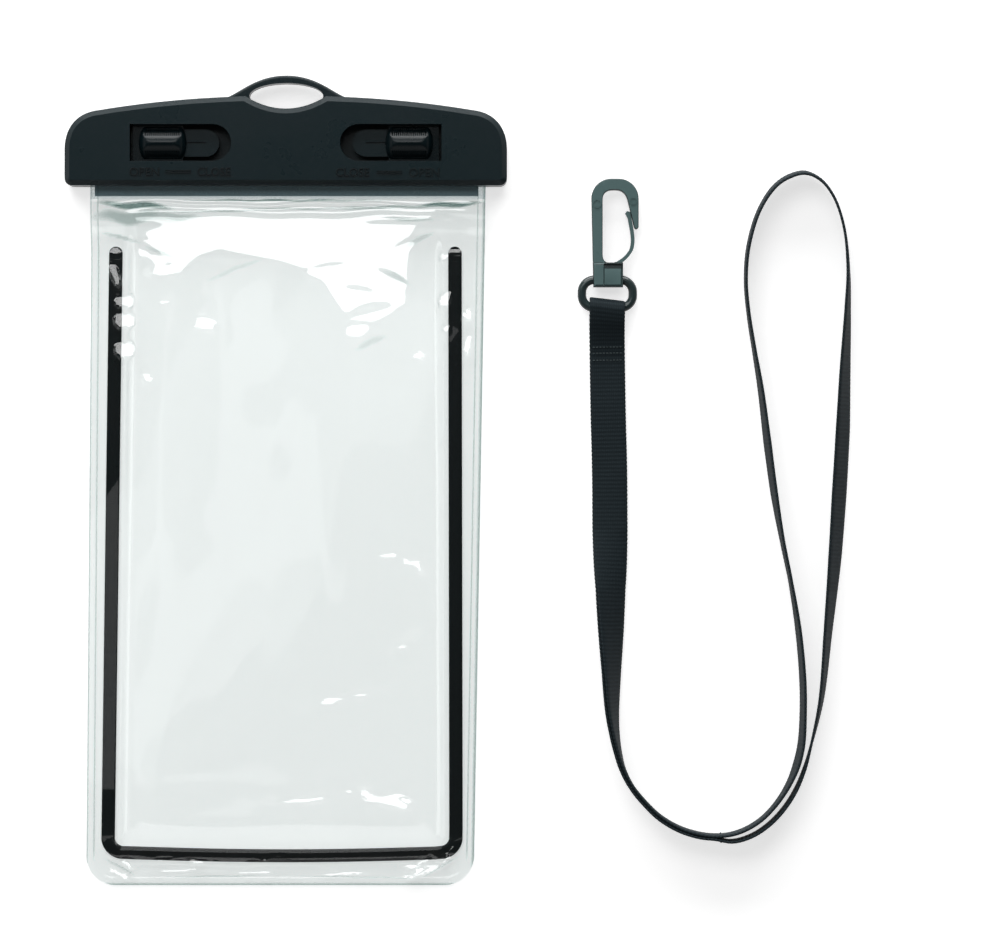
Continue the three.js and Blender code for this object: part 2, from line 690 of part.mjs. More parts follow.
function hookOutline() {
  const r = hook.headRadius;
  const inner = hook.left + hook.spine;
  const innerTop = hook.topY - hook.spine;
  const shape = new THREE.Shape();
  shape.moveTo(neck.left, neck.topY - 2.5);
  shape.lineTo(neck.left, neck.topY);
  shape.lineTo(hook.left, neck.topY + 1.9);
  shape.lineTo(hook.left, hook.topY - r);
  shape.absarc(hook.left + r, hook.topY - r, r, Math.PI, Math.PI / 2, true);
  shape.lineTo(hook.right - r, hook.topY);
  shape.absarc(hook.right - r, hook.topY - r, r, Math.PI / 2, 0, true);
  shape.lineTo(hook.right, hook.noseY + 0.8);
  shape.quadraticCurveTo(hook.right, hook.noseY, hook.right - 0.7, hook.noseY);
  shape.quadraticCurveTo(hook.right - 1.1, hook.noseY, hook.right - 1.35, hook.noseY + 1.0);
  shape.lineTo(hook.right - 3.1, hook.noseY + 8.2);
  shape.quadraticCurveTo(hook.right - 3.9, innerTop, hook.right - 6.2, innerTop);
  shape.lineTo(inner + 2.8, innerTop);
  shape.quadraticCurveTo(inner, innerTop, inner, innerTop - 2.8);
  shape.lineTo(inner, neck.topY + 2.2);
  shape.quadraticCurveTo(inner, neck.topY - 0.1, inner + 2.1, neck.topY - 0.1);
  shape.lineTo(inner + 2.1, neck.topY - 2.5);
  shape.closePath();
  return shape;
}

function makeSnapHook() {
  const half = hook.thick / 2;
  const slotHalf = gate.thick / 2 + gap;
  const body = roundedSlab(hookOutline(), ring.z - half, ring.z + half, hook.bevel, true, 8);
  const neckShape = new THREE.Shape();
  neckShape.moveTo(neck.left, neckFootY);
  neckShape.lineTo(neck.right, neckFootY);
  neckShape.lineTo(neck.right, neck.topY);
  neckShape.lineTo(neck.left, neck.topY);
  neckShape.closePath();
  const slot = block(
    gate.x - gate.knuckle - gap, neck.right + 1,
    gate.y - gate.knuckle - gap, neck.topY + 1,
    ring.z - slotHalf, ring.z + slotHalf,
  );
  const pin = rodAlongZ(gate.x, gate.y, ring.z - slotHalf - 0.3, ring.z + slotHalf + 0.3, gate.pin, 14);
  return body
    .add(roundedSlab(neckShape, ring.z - neckHalf, ring.z + neckHalf, 0.4, true, 4))
    .subtract(rodAlongX(neck.left - 1, neck.right + 1, ring.topY, ring.z, boreRadius, 24))
    .subtract(slot)
    .add(pin);
}

function makeHookGate() {
  const route = [
    [gate.x + 0.2, gate.y + 0.7], [92.0, 60.7], [93.45, 62.9], [93.85, 65.4], [93.55, 68.3], [93.0, 70.9],
    [92.6, 72.8],
  ];
  const points = route.map(([x, y]) => new THREE.Vector3(x, y, ring.z));
  const upright = new THREE.Vector3(0, 0, 1);
  const blade = bandAlong(points, points.map(() => upright), gate.thick, gate.blade, 4);
  const half = gate.thick / 2;
  const knuckle = rodAlongZ(gate.x, gate.y, ring.z - half, ring.z + half, gate.knuckle);
  const hole = rodAlongZ(gate.x, gate.y, ring.z - half - 1, ring.z + half + 1, gate.pin + gap, 14);
  return knuckle.add(blade).subtract(hole);
}

const pouch = new THREE.Group();
pouch.add(
  pieceOf('rear_rail', makeRearRail(), railPlastic),
  pieceOf('front_rail', makeFrontRail(), railPlastic),
  pieceOf('mouth_gasket', makeGasket(), sealRubber),
  pieceOf('left_latch', makeLatch(-1), latchPlastic),
  pieceOf('right_latch', makeLatch(1), latchPlastic),
  pieceOf('rear_film', makeRearFilm(), clearFilm),
  pieceOf('front_film', makeFrontFilm(), clearFilm),
  pieceOf('accent_frame', makeAccentFrame(), blackStrip),
  pieceOf('neck_strap', makeNeckStrap(), webbing),
  pieceOf('strap_ring', makeStrapRing(), hookPlastic),
  pieceOf('snap_hook', makeSnapHook(), hookPlastic),
  pieceOf('hook_gate', makeHookGate(), hookPlastic),
);

export default pouch;
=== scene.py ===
# Dresses the CAD frame of a clear waterproof phone pouch and its neck strap.
# Blender works in metres here. Sizes written in millimetres are multiplied by MM when a mesh is made.
import math

import bmesh
import bpy
import numpy as np
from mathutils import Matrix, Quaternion, Vector


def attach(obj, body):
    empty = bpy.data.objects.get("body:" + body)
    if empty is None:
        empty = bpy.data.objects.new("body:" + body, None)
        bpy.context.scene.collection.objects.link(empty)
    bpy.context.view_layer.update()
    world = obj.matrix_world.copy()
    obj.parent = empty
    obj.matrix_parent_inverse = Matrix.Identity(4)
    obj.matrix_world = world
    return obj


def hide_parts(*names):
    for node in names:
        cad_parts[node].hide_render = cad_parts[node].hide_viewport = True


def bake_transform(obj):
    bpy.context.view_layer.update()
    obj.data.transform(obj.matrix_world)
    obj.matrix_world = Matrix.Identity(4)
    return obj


bl_info = {
    "name": "Waterproof Phone Pouch",
    "version": (1, 0, 0),
    "blender": (4, 5, 0),
    "location": "3D View > Sidebar > Pouch",
    "description": "Dresses a clear phone pouch, its clamp closure and its neck strap",
    "category": "Add Mesh",
}

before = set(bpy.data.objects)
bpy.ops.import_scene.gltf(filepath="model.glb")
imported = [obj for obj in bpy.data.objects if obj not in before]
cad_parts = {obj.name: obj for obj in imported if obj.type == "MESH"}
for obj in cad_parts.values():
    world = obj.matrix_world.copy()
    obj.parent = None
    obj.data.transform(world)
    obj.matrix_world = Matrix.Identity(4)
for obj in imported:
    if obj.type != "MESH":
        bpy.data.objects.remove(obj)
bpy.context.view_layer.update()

MM = 0.001

# Closure (mm)
RAIL_BOTTOM_Y = 80.2
FACE_Z = 11.0
LATCH_Y = 91.75
FLANGE_TOP_Z = 8.7

# Finger grips of the latches (mm), with their number of ribs and how far their ends are rounded (0 to 1)
KNOB = {"outer": 39.9, "length": 12.9, "width": 8.7, "crest": 11.6, "edge": 8.85, "round": 0.3, "ribs": 22}

# Grooves of a grip: the flank, the depth (mm), and where they start and end across that flank (0 to 1),
# and then where they fade out along the grip
KNOB_GROOVES = ((1, 0.7, (0.42, 0.5), (0.9, 0.96)), (-1, 0.35, (0.5, 0.6), (0.88, 0.95)))
KNOB_GROOVE_ENDS = (0.76, 0.82)

# Raised words as text, left, right and middle, and bars as left, right, middle and thickness (mm)
LETTER_RISE = 0.22
WORD_HEIGHT = 2.35
WORDS = (
    ("OPEN", -42.3, -34.2, 83.85), ("CLOSE", -23.9, -14.9, 83.85),
    ("CLOSE", 13.6, 22.7, 83.7), ("OPEN", 33.4, 41.7, 83.7),
)
BARS = (
    (-32.6, -25.6, 84.15, 0.28), (-32.6, -25.6, 83.55, 0.2),
    (24.7, 31.6, 83.95, 0.28), (24.7, 31.6, 83.35, 0.2),
)

# Films (mm)
FILM_TOP = (-53.3, 54.2)
FILM_FOOT = (-54.8, 50.9)
FILM_WIDTH = FILM_FOOT[1] - FILM_FOOT[0]
FILM_FOOT_Y = -110.3
FILM_END_Y = 83.0
FILM_CORNER = 8.0
MOUTH_Z = 5.2
REAR_MOUTH_Z = 4.6
MOUTH_Y = (60.0, 76.1)

# Heights of the front film's underside at its rim, over the strip's legs and in the window (mm)
RIM_Z = 0.55
OVER_STRIP_Z = 1.3
WINDOW_Z = 5.5

# Where the front film comes to lie flat in the closure, and where it turns milky, as y from and to (mm)
HELD_Y = (75.9, 76.7)
MILKY_Y = (76.4, 77.2)
MILKY_SHARE = 0.16
MILKY_COLOUR = (0.6, 0.9, 1.0, 1)

# Black strip on the window (mm)
STRIP = {
    "width": 3.7, "thick": 0.5, "top_y": 64.0, "foot_y": -101.3, "corner": 4.2, "tilt": 15.0, "sag": 0.9,
    "floor": 0.62, "thin_end": 0.6,
}
STRIP_SECTION = (
    (-1, 0.0), (-1, 0.55), (-0.93, 0.82), (-0.78, 0.95), (-0.4, 1.0), (0, 1.0),
    (0.4, 1.0), (0.78, 0.95), (0.93, 0.82), (1, 0.55), (1, 0.0), (0, 0.0),
)
STRIP_TOP = (-46.7, 45.8)
STRIP_FOOT = (-48.9, 46.1)
STRIP_CLEAR_Z = 1.22

# Neck strap (mm): its section, the spacing of its stations, the space between its fold and the ring's wire,
# how far and from where to where its tab is skewed, and the depth of its ribs (a share) and of its edge's waves
STRAP = {"width": 9.6, "thick": 0.8, "layer_gap": 0.04, "floor": 0.05, "fold_at": 36.0}
STATION_STEP = 0.28
TAB_CORNER = 0.45
TAB_SLANT = 0.1
TAB_SLANT_Y = (39.0, 46.0)
RIB_DEPTH = 0.09
SELVEDGE_WAVE = 0.06
RING = {"x": 87.35, "top_y": 54.85, "foot_y": 47.2, "half": 6.93, "wire": 2.4, "corner": 3.4, "z": 2.7}

# Half of the strap's section, from one edge over the top, as shares of its half width and half thickness
STRAP_SECTION = (
    (-1.0, 0.0), (-0.985, 0.6), (-0.93, 0.95), (-0.6, 1.0), (-0.2, 1.0), (0.2, 1.0), (0.6, 1.0),
    (0.93, 0.95), (0.985, 0.6),
)

# Distances along the strap: where its upper layer below the ring lies, and where the loose loop starts at
# the latest and ends at the earliest (mm)
TAB_RUN = (20, 60)
LOOP_RUN = (200, 400)

# Seams of the strap: their share of its width, the gap at each end of a stitch, the thread's radius and how
# far its ends are sunk, then the seams at the ring in y, and the two places where the layers part (mm)
SEAM = {"share": 0.86, "gap": 0.12, "thread": 0.16, "sunk": 0.04}
TAB_SEAMS_Y = (36.6, 34.9, 33.0)
TAB_STITCHES = 9
PARTING_SEAMS = ((118.2, -96.0), (118.2, -98.0))
PARTING_STITCHES = 8

# Face and edges of the hook, and the depth and upper end of its neck's seam and hollow (mm)
HOOK = {
    "crown": 0.2, "inset": 0.24, "round": 0.2, "seam_top": 60.5, "seam_deep": 0.35,
    "hollow_top": 63.0, "hollow_deep": 0.5,
}
# Cuts across the hook's neck that its seam and its hollow are made from, as x and y (mm)
HOOK_SEAM = (86.25, 86.32, 86.48, 86.55)
HOOK_HOLLOW = (57.8, 58.6)
# The part of the neck's hollow painted darker as painted shade, as its right and its upper end (mm)
HOOK_PAINTED_SHADE = (91.5, 61.0)
# Straight outer edge of the hook's spine, from its top to its foot, and the step that it takes out (mm)
HOOK_SPINE = {"top": (82.97, 78.0), "foot": (83.5, 54.0), "reach_x": 83.9, "step_y": 61.0}
# Round marks on the hook as x, y and radius, and the line that they are drawn with (mm)
MARKS = ((84.5, 75.5, 1.15), (94.4, 76.2, 1.0))
MARK_LINE = {"z": 4.72, "wide": 0.16, "deep": 0.1, "sides": 28}
# Barb of the gate, as the corners of its outline and the heights of its ends (mm)
BARB = ((92.2, 72.9), (92.75, 71.8), (93.4, 71.5), (93.6, 73.3), (92.65, 73.5))
BARB_Z = (1.25, 4.15)

# How far the gate's blade leans out towards the hook's arm, as places in y and shifts in x (mm)
GATE_SHIFT = ((60.0, 63.0, 66.0, 69.0, 72.7), (0.0, 0.35, 0.4, 0.45, 0.55))

# Places of the camera and of the main softbox (m), which the film's facets turn towards
CAMERA = (0.0581, 0.0041, 1.4)
KEY_CENTRE = (-0.2, 0.62, 1.0)
KEY_SIZE = (0.85, 0.64)

# Width of the view and the height over the table at which it is that wide (m), the camera's sensor (mm),
# and the floor's half width and height (m)
VIEW_WIDTH = 0.2715
VIEW_Z = 0.008
SENSOR = 36.0
FLOOR_HALF = 3.0
FLOOR_Z = -0.0003

# The strap's route, as x and y in millimetres and its lean in degrees: 0 lies flat, 90 stands on its edge.
DOUBLED_RUN = (
    (87.35, 47.2, 0), (87.3, 44, 0), (87.3, 40.5, 0), (87.35, 36, 0), (87.6, 19.3, 0), (88.0, 3.0, 0),
    (88.1, -13.3, 8), (88.2, -29.6, 38), (88.3, -40.5, 49), (88.4, -51.3, 62), (88.6, -62.2, 73),
    (89.1, -67.6, 79), (90.0, -73.0, 84), (91.5, -78.5, 88), (94.0, -83.4, 90), (97.5, -87.7, 90),
    (101.6, -91.6, 90), (106.9, -94.7, 90), (112.3, -96.4, 90), (116.7, -96.9, 90),
)
LOOSE_LOOP = (
    (121.0, -96.1, 90), (125.0, -94.7, 90), (128.9, -92.3, 90), (132.1, -89.2, 90), (134.9, -85.5, 89),
    (137.2, -81.4, 87), (138.9, -77.0, 84), (140.1, -71.7, 84), (140.6, -63.5, 85), (140.5, -54.0, 85),
    (139.3, -40.5, 86), (137.2, -27.4, 89), (134.9, -16.0, 88), (132.8, -3.8, 84), (130.9, 10.3, 83),
    (129.1, 24.7, 86), (127.3, 35.6, 89), (125.7, 45.9, 90), (125.0, 54.6, 90), (125.7, 63.8, 89),
    (128.6, 73.6, 88), (132.8, 80.1, 86), (136.8, 82.9, 84), (141.2, 83.9, 83), (145.5, 81.9, 84),
    (149.1, 77.1, 85), (151.8, 68.7, 86), (152.9, 57.3, 84), (152.7, 46.4, 79), (152.0, 30.1, 71),
    (151.4, 13.8, 65), (150.4, -3.8, 64), (149.2, -21.4, 67), (147.4, -40.5, 75), (145.5, -59.5, 81),
    (142.8, -71.7, 86), (141.0, -78.2, 89), (138.5, -84.2, 90), (135.3, -89.2, 90), (131.2, -93.5, 90),
    (126.4, -96.6, 90), (121.3, -98.0, 90),
)


# Places closer than this count as the same (mm)
NEAR = 0.01

# A wave texture of scale 1 repeats after this distance
WAVE_PERIOD = 2 * math.pi / 20

# Colour sockets of a mix node
MIX_LOW = 6
MIX_HIGH = 7
MIX_RESULT = 2

# Depth of the moulded grain and of the webbing's weave (m)
GRAIN_DEPTH = 0.00004
WEAVE_DEPTH = 0.00008

# Moulded finishes: the setting with the colour, the colour of the specks, roughness, specular level,
# scale of the grain, wear and relief
FINISHES = {
    "Rail Plastic": ("rail_colour", (0.014, 0.028, 0.03), 0.34, 0.21, 2600.0, 0.12, 0.6),
    "Seal Rubber": ("seal_colour", (0.08, 0.085, 0.085), 0.75, 0.3, 2600.0, 0.35, 0.25),
    "Letter Plastic": ("letter_colour", (0.03, 0.045, 0.047), 0.3, 0.3, 2600.0, 0.25, 0.2),
    "Latch Plastic": ("latch_colour", (0.008, 0.016, 0.018), 0.3, 0.22, 1800.0, 0.15, 0.12),
    "Hook Plastic": ("hook_colour", (0.11, 0.17, 0.17), 0.34, 0.16, 1700.0, 0.25, 0.2),
    # A darker copy of the hook's plastic, painted on its sides, underside and neck hollow as painted shade
    "Hook Side Plastic": ("hook_painted_shade_colour", (0.02, 0.033, 0.034), 0.34, 0.16, 1700.0, 0.2, 0.2),
    "Ring Plastic": ("ring_colour", (0.04, 0.06, 0.06), 0.24, 0.5, 1700.0, 0.15, 0.15),
    "Black Strip": ("strip_colour", (0.008, 0.014, 0.014), 0.35, 0.15, 1500.0, 0.2, 0.1),
    "Stitching Thread": ("thread_colour", (0.09, 0.11, 0.11), 0.7, 0.15, 3000.0, 0.5, 0.25),
}


# Meshes


def smoothstep(low, high, value):
    t = np.clip((value - low) / (high - low), 0.0, 1.0)
    return t * t * (3.0 - 2.0 * t)


def mesh_of(name, points, faces, sharp_over=35.0):
    """Makes a smooth mesh from points in millimetres. Edges that turn by more degrees stay sharp."""
    mesh = bpy.data.meshes.new(name)
    mesh.from_pydata((np.asarray(points) * MM).tolist(), [], [list(map(int, face)) for face in faces])
    mesh.validate()
    mesh.polygons.foreach_set("use_smooth", [True] * len(mesh.polygons))
    mesh.set_sharp_from_angle(angle=math.radians(sharp_over))
    return mesh


def dress(name, mesh, body, material, stands_for=()):
    """Adds a piece to the scene: its body, its material and the CAD nodes it stands for."""
    piece = bpy.data.objects.new(name, mesh)
    bpy.context.scene.collection.objects.link(piece)
    mesh.materials.clear()
    mesh.materials.append(material)
    if body:
        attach(piece, body)
    if stands_for:
        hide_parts(*stands_for)
    return piece


def even_out_normals(piece):
    modifier = piece.modifiers.new("Even Normals", "WEIGHTED_NORMAL")
    modifier.keep_sharp = True
    modifier.weight = 50


def grid_faces(rows, columns, first=0, flip=False):
    r, c = np.meshgrid(np.arange(rows - 1), np.arange(columns - 1), indexing="ij")
    a = first + r * columns + c
    quad = np.stack([a, a + 1, a + columns + 1, a + columns], axis=-1).reshape(-1, 4)
    return quad[:, ::-1] if flip else quad


def thin_solid(name, x, y, top, under, sharp_over):
    """Closes a sheet, given as grids of its places and of the heights of its two sides, into one solid."""
    rows, columns = x.shape
    count = rows * columns
    index = np.arange(count).reshape(rows, columns)
    rim = np.concatenate([index[0], index[1:, -1], index[-1, -2::-1], index[-2:0:-1, 0]])
    after = np.roll(rim, -1)
    side = np.stack([rim, rim + count, after + count, after], axis=-1)
    faces = np.concatenate([grid_faces(rows, columns), grid_faces(rows, columns, count, True), side])
    points = np.concatenate([np.stack([x, y, z], -1).reshape(-1, 3) for z in (top, under)])
    return mesh_of(name, points, faces, sharp_over)


def swept(rings):
    """Points and faces of a solid through equal closed rings of points, with flat ends."""
    count, sides = rings.shape[:2]
    a = np.arange(count - 1)[:, None] * sides + np.arange(sides)[None, :]
    b = np.arange(count - 1)[:, None] * sides + (np.arange(sides)[None, :] + 1) % sides
    quads = np.stack([a, b, b + sides, a + sides], axis=-1).reshape(-1, 4).tolist()
    ends = [list(range(sides))[::-1], list(range((count - 1) * sides, count * sides))]
    return rings.reshape(-1, 3), quads + ends


def cleaned(node):
    """Copies a CAD node's solid with its flat faces whole."""
    shape = bmesh.new()
    shape.from_mesh(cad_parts[node].data)
    bmesh.ops.remove_doubles(shape, verts=shape.verts, dist=1e-6)
    bmesh.ops.dissolve_limit(
        shape, angle_limit=math.radians(0.6), use_dissolve_boundaries=False, verts=shape.verts,
        edges=shape.edges,
    )
    return shape


def taken_from(shape):
    """Points (mm) and faces of a bmesh, without the layers that came with the CAD node."""
    shape.verts.index_update()
    points = [vert.co / MM for vert in shape.verts]
    faces = [[vert.index for vert in face.verts] for face in shape.faces]
    shape.free()
    return points, faces


def merged(parts):
    """Joins the points and faces of several parts."""
    points = []
    faces = []
    for part_points, part_faces in parts:
        first = len(points)
        points += list(part_points)
        faces += [[first + i for i in face] for face in part_faces]
    return points, faces


def cut_across(shape, axis, at, **ends):
    """Cuts a bmesh along the plane that is square to an axis, at a place in millimetres."""
    bmesh.ops.bisect_plane(
        shape, geom=shape.verts[:] + shape.edges[:] + shape.faces[:], dist=1e-7,
        plane_co=[at * MM * (i == axis) for i in range(3)],
        plane_no=[float(i == axis) for i in range(3)], **ends,
    )


def broken_edges(shape, width, segments=2, over=32.0):
    sharp = [
        edge for edge in shape.edges
        if len(edge.link_faces) == 2 and edge.calc_face_angle(0.0) > math.radians(over)
    ]
    bmesh.ops.bevel(
        shape, geom=sharp, offset=width * MM, offset_type="OFFSET", segments=segments, profile=0.5,
        affect="EDGES", clamp_overlap=True,
    )


def rounded_copy(name, node, width, segments=2):
    shape = cleaned(node)
    broken_edges(shape, width, segments)
    return mesh_of(name, *taken_from(shape))


# Materials


def place(tree, kind, settings=None, **inputs):
    node = tree.nodes.new(kind)
    for key, value in (settings or {}).items():
        setattr(node, key, value)
    for key, value in inputs.items():
        node.inputs[key.replace("_", " ")].default_value = value
    return node


def join(tree, *ends):
    """Links outputs to inputs, given as node, socket, node, socket, and so on."""
    for i in range(0, len(ends), 4):
        tree.links.new(ends[i].outputs[ends[i + 1]], ends[i + 2].inputs[ends[i + 3]])


def math_node(tree, operation, second=None):
    """A math node, with its second number fixed where one is given."""
    node = place(tree, "ShaderNodeMath", {"operation": operation})
    if second is not None:
        node.inputs[1].default_value = second
    return node


def colour_mix(tree, low=None, high=None):
    """A mix of two colours, fixed where they are given."""
    node = place(tree, "ShaderNodeMix", {"data_type": "RGBA"})
    for socket, colour in ((MIX_LOW, low), (MIX_HIGH, high)):
        if colour is not None:
            node.inputs[socket].default_value = (*colour, 1)
    return node


def group_of(name, inputs, outputs):
    tree = bpy.data.node_groups.new(name, "ShaderNodeTree")
    for title, kind, default in inputs:
        tree.interface.new_socket(title, in_out="INPUT", socket_type=kind).default_value = default
    for title, kind in outputs:
        tree.interface.new_socket(title, in_out="OUTPUT", socket_type=kind)
    return tree, tree.nodes.new("NodeGroupInput"), tree.nodes.new("NodeGroupOutput")


def moulded_grain():
    """Fine moulded grain with a little handling wear and dust."""
    name = "Moulded Grain"
    if name in bpy.data.node_groups:
        return bpy.data.node_groups[name]
    colour = "NodeSocketColor"
    number = "NodeSocketFloat"
    tree, given, result = group_of(
        name,
        (("Base", colour, (0.01, 0.01, 0.01, 1)), ("Speck", colour, (0.05, 0.06, 0.06, 1)),
         ("Grain Scale", number, 2600.0), ("Wear", number, 0.35), ("Roughness", number, 0.5)),
        (("Color", colour), ("Roughness", number), ("Height", number)),
    )
    where = place(tree, "ShaderNodeTexCoord")
    fine = place(tree, "ShaderNodeTexNoise", Detail=3.0, Roughness=0.65)
    broad = place(tree, "ShaderNodeTexNoise", Scale=55.0, Detail=4.0, Roughness=0.6)
    specks = place(tree, "ShaderNodeTexNoise", Scale=900.0, Detail=2.0)
    mottle = place(tree, "ShaderNodeMapRange", None, From_Min=0.35, From_Max=0.7)
    dust = place(tree, "ShaderNodeMapRange", None, From_Min=0.64, From_Max=0.76)
    worn = math_node(tree, "MULTIPLY")
    share = math_node(tree, "MULTIPLY_ADD")
    tint = colour_mix(tree)
    rough = math_node(tree, "MULTIPLY_ADD", -0.09)
    for noise in (fine, broad, specks):
        join(tree, where, "Object", noise, "Vector")
    join(
        tree, given, "Grain Scale", fine, "Scale",
        broad, "Fac", mottle, "Value", specks, "Fac", dust, "Value",
        mottle, "Result", worn, 0, given, "Wear", worn, 1,
        dust, "Result", share, 0, given, "Wear", share, 1, worn, 0, share, 2,
        share, 0, tint, "Factor", given, "Base", tint, MIX_LOW, given, "Speck", tint, MIX_HIGH,
        mottle, "Result", rough, 0, given, "Roughness", rough, 2,
        tint, MIX_RESULT, result, "Color", rough, 0, result, "Roughness", fine, "Fac", result, "Height",
    )
    return tree


def new_material(name):
    material = bpy.data.materials.new(name)
    material.use_nodes = True
    tree = material.node_tree
    tree.nodes.clear()
    return material, tree, tree.nodes.new("ShaderNodeOutputMaterial")


def moulded(settings, name):
    """A moulded finish with the shared grain."""
    if name in bpy.data.materials:
        return bpy.data.materials[name]
    colour, speck, roughness, specular, grain, wear, relief = FINISHES[name]
    material, tree, end = new_material(name)
    shader = place(tree, "ShaderNodeBsdfPrincipled", None, Specular_IOR_Level=specular)
    skin = place(
        tree, "ShaderNodeGroup", {"node_tree": moulded_grain()}, Base=(*getattr(settings, colour), 1),
        Speck=(*speck, 1), Grain_Scale=grain, Wear=wear, Roughness=roughness,
    )
    bump = place(tree, "ShaderNodeBump", None, Strength=relief, Distance=GRAIN_DEPTH)
    join(tree, skin, "Color", shader, "Base Color", skin, "Roughness", shader, "Roughness",
         skin, "Height", bump, "Height", bump, "Normal", shader, "Normal", shader, "BSDF", end, "Surface")
    return material


def film_material(settings):
    """Clear soft film: it lets light straight through and reflects what lies at its angle, and is painted
    darker where its Shade attribute marks painted shade and painted reflections.
    """
    name = "Clear Film"
    if name in bpy.data.materials:
        return bpy.data.materials[name]
    material, tree, end = new_material(name)
    clear = place(tree, "ShaderNodeBsdfTransparent")
    gloss = place(tree, "ShaderNodeBsdfGlossy", None, Color=(1, 1, 1, 1), Roughness=settings.film_roughness)
    milky = place(tree, "ShaderNodeBsdfDiffuse", None, Color=MILKY_COLOUR)
    painted_shade_of = place(tree, "ShaderNodeAttribute", {"attribute_name": "Shade"})
    haze_of = place(tree, "ShaderNodeAttribute", {"attribute_name": "Haze"})
    # Where Shade is set, the passing light turns to the film's painted shade colour
    tint = colour_mix(tree, settings.film_tint, settings.film_painted_shade)
    body = place(tree, "ShaderNodeMixShader")
    skin = place(tree, "ShaderNodeMixShader")
    facing = place(tree, "ShaderNodeLayerWeight", None, Blend=0.5)
    steep = math_node(tree, "POWER", 5.0)
    reflect = place(tree, "ShaderNodeMapRange", None, To_Min=settings.film_mirror, To_Max=0.9)
    join(
        tree, painted_shade_of, "Fac", tint, "Factor", tint, MIX_RESULT, clear, "Color",
        haze_of, "Fac", body, 0, clear, 0, body, 1, milky, 0, body, 2,
        facing, "Facing", steep, 0, steep, 0, reflect, "Value", reflect, "Result", skin, 0,
        body, 0, skin, 1, gloss, 0, skin, 2, skin, 0, end, "Surface",
    )
    return material


def webbing_material(settings):
    """Ribbed flat webbing: its yarns follow the strap's own map, across and along; the woven pattern is painted
    lighter on the rib crests as a painted highlight.
    """
    name = "Ribbed Webbing"
    if name in bpy.data.materials:
        return bpy.data.materials[name]
    material, tree, end = new_material(name)
    shader = place(tree, "ShaderNodeBsdfPrincipled", None, Specular_IOR_Level=0.14)
    where = place(tree, "ShaderNodeUVMap", {"uv_map": "Along"})
    yarns = place(tree, "ShaderNodeTexWave", {"wave_type": "BANDS", "bands_direction": "X"},
                  Scale=WAVE_PERIOD / settings.yarn_pitch, Distortion=0.4, Detail=1.0)
    ribs = place(tree, "ShaderNodeTexWave", {"wave_type": "BANDS", "bands_direction": "Y"},
                 Scale=WAVE_PERIOD / settings.rib_pitch, Phase_Offset=math.pi, Distortion=0.15, Detail=1.0)
    fuzz = place(tree, "ShaderNodeTexNoise", Scale=2400.0, Detail=3.0)
    weave = math_node(tree, "MULTIPLY")
    woven = math_node(tree, "ADD")
    share = place(tree, "ShaderNodeMapRange", None, From_Min=0.35, From_Max=1.6)
    # Weave pattern, with the rib crests painted lighter as a painted highlight
    tint = colour_mix(tree, settings.webbing_colour, settings.rib_crest_highlight_colour)
    rough = place(tree, "ShaderNodeMapRange", None, To_Min=0.62, To_Max=0.85)
    bump = place(tree, "ShaderNodeBump", None, Strength=0.5, Distance=WEAVE_DEPTH)
    for node in (yarns, ribs, fuzz):
        join(tree, where, "UV", node, "Vector")
    join(
        tree, yarns, "Fac", weave, 0, ribs, "Fac", weave, 1, weave, 0, woven, 0, fuzz, "Fac", woven, 1,
        woven, 0, share, "Value", share, "Result", tint, "Factor", tint, MIX_RESULT, shader, "Base Color",
        fuzz, "Fac", rough, "Value", rough, "Result", shader, "Roughness",
        woven, 0, bump, "Height", bump, "Normal", shader, "Normal", shader, "BSDF", end, "Surface",
    )
    return material


def paint_shaded_sides(piece, material):
    """Gives the sides, the underside and the neck's hollow of a piece a darker copy of its plastic, as painted
    shade.
    """
    piece.data.materials.append(material)
    for face in piece.data.polygons:
        x, y = face.center.x / MM, face.center.y / MM
        in_painted_shade_hollow = HOOK_SEAM[3] < x < HOOK_PAINTED_SHADE[0] and HOOK_HOLLOW[0] < y < HOOK_PAINTED_SHADE[1]
        if face.normal.z < 0.8 or in_painted_shade_hollow:
            face.material_index = 1


# Films


def on_line(ends, y, top_y, foot_y):
    """Where a line from a top to a foot passes a height."""
    return ends[0] + (ends[1] - ends[0]) * (top_y - y) / (top_y - foot_y)


def film_edge(side, y):
    return on_line((FILM_TOP[side], FILM_FOOT[side]), y, RAIL_BOTTOM_Y, FILM_FOOT_Y)


def strip_x(side, y):
    return on_line((STRIP_TOP[side], STRIP_FOOT[side]), y, STRIP["top_y"], STRIP["foot_y"])


def mouth_share(y):
    return smoothstep(*MOUTH_Y, y)


def spaced(*runs):
    """Distances from nought on, as runs of (end, step)."""
    places = [0.0]
    for end, step in runs:
        count = max(1, round((end - places[-1]) / step))
        places += list(np.linspace(places[-1], end, count + 1)[1:])
    return np.array(places)


def film_points(half_run, up):
    """Lays a grid over the film's outline, alike at both sides, with its lower corners rounded."""
    across = np.concatenate([half_run, (FILM_WIDTH - half_run[::-1])[1:]])
    u, v = np.meshgrid(across, up)
    a = np.clip(np.maximum(FILM_CORNER - u, FILM_CORNER - (FILM_WIDTH - u)) / FILM_CORNER, 0.0, 1.0)
    b = np.clip((FILM_CORNER - v) / FILM_CORNER, 0.0, 1.0)
    round_a = a * np.sqrt(1.0 - b * b / 2.0)
    round_b = b * np.sqrt(1.0 - a * a / 2.0)
    left = u < FILM_WIDTH / 2
    u = np.where((a > 0) & left, FILM_CORNER * (1 - round_a), u)
    u = np.where((a > 0) & ~left, FILM_WIDTH - FILM_CORNER * (1 - round_a), u)
    v = np.where(b > 0, FILM_CORNER * (1 - round_b), v)
    y = FILM_FOOT_Y + v
    share = u / FILM_WIDTH
    x = film_edge(0, y) * (1 - share) + film_edge(1, y) * share
    return x, y, u, v


def rim_distance(u, v):
    return np.minimum(np.minimum(u, FILM_WIDTH - u), v)


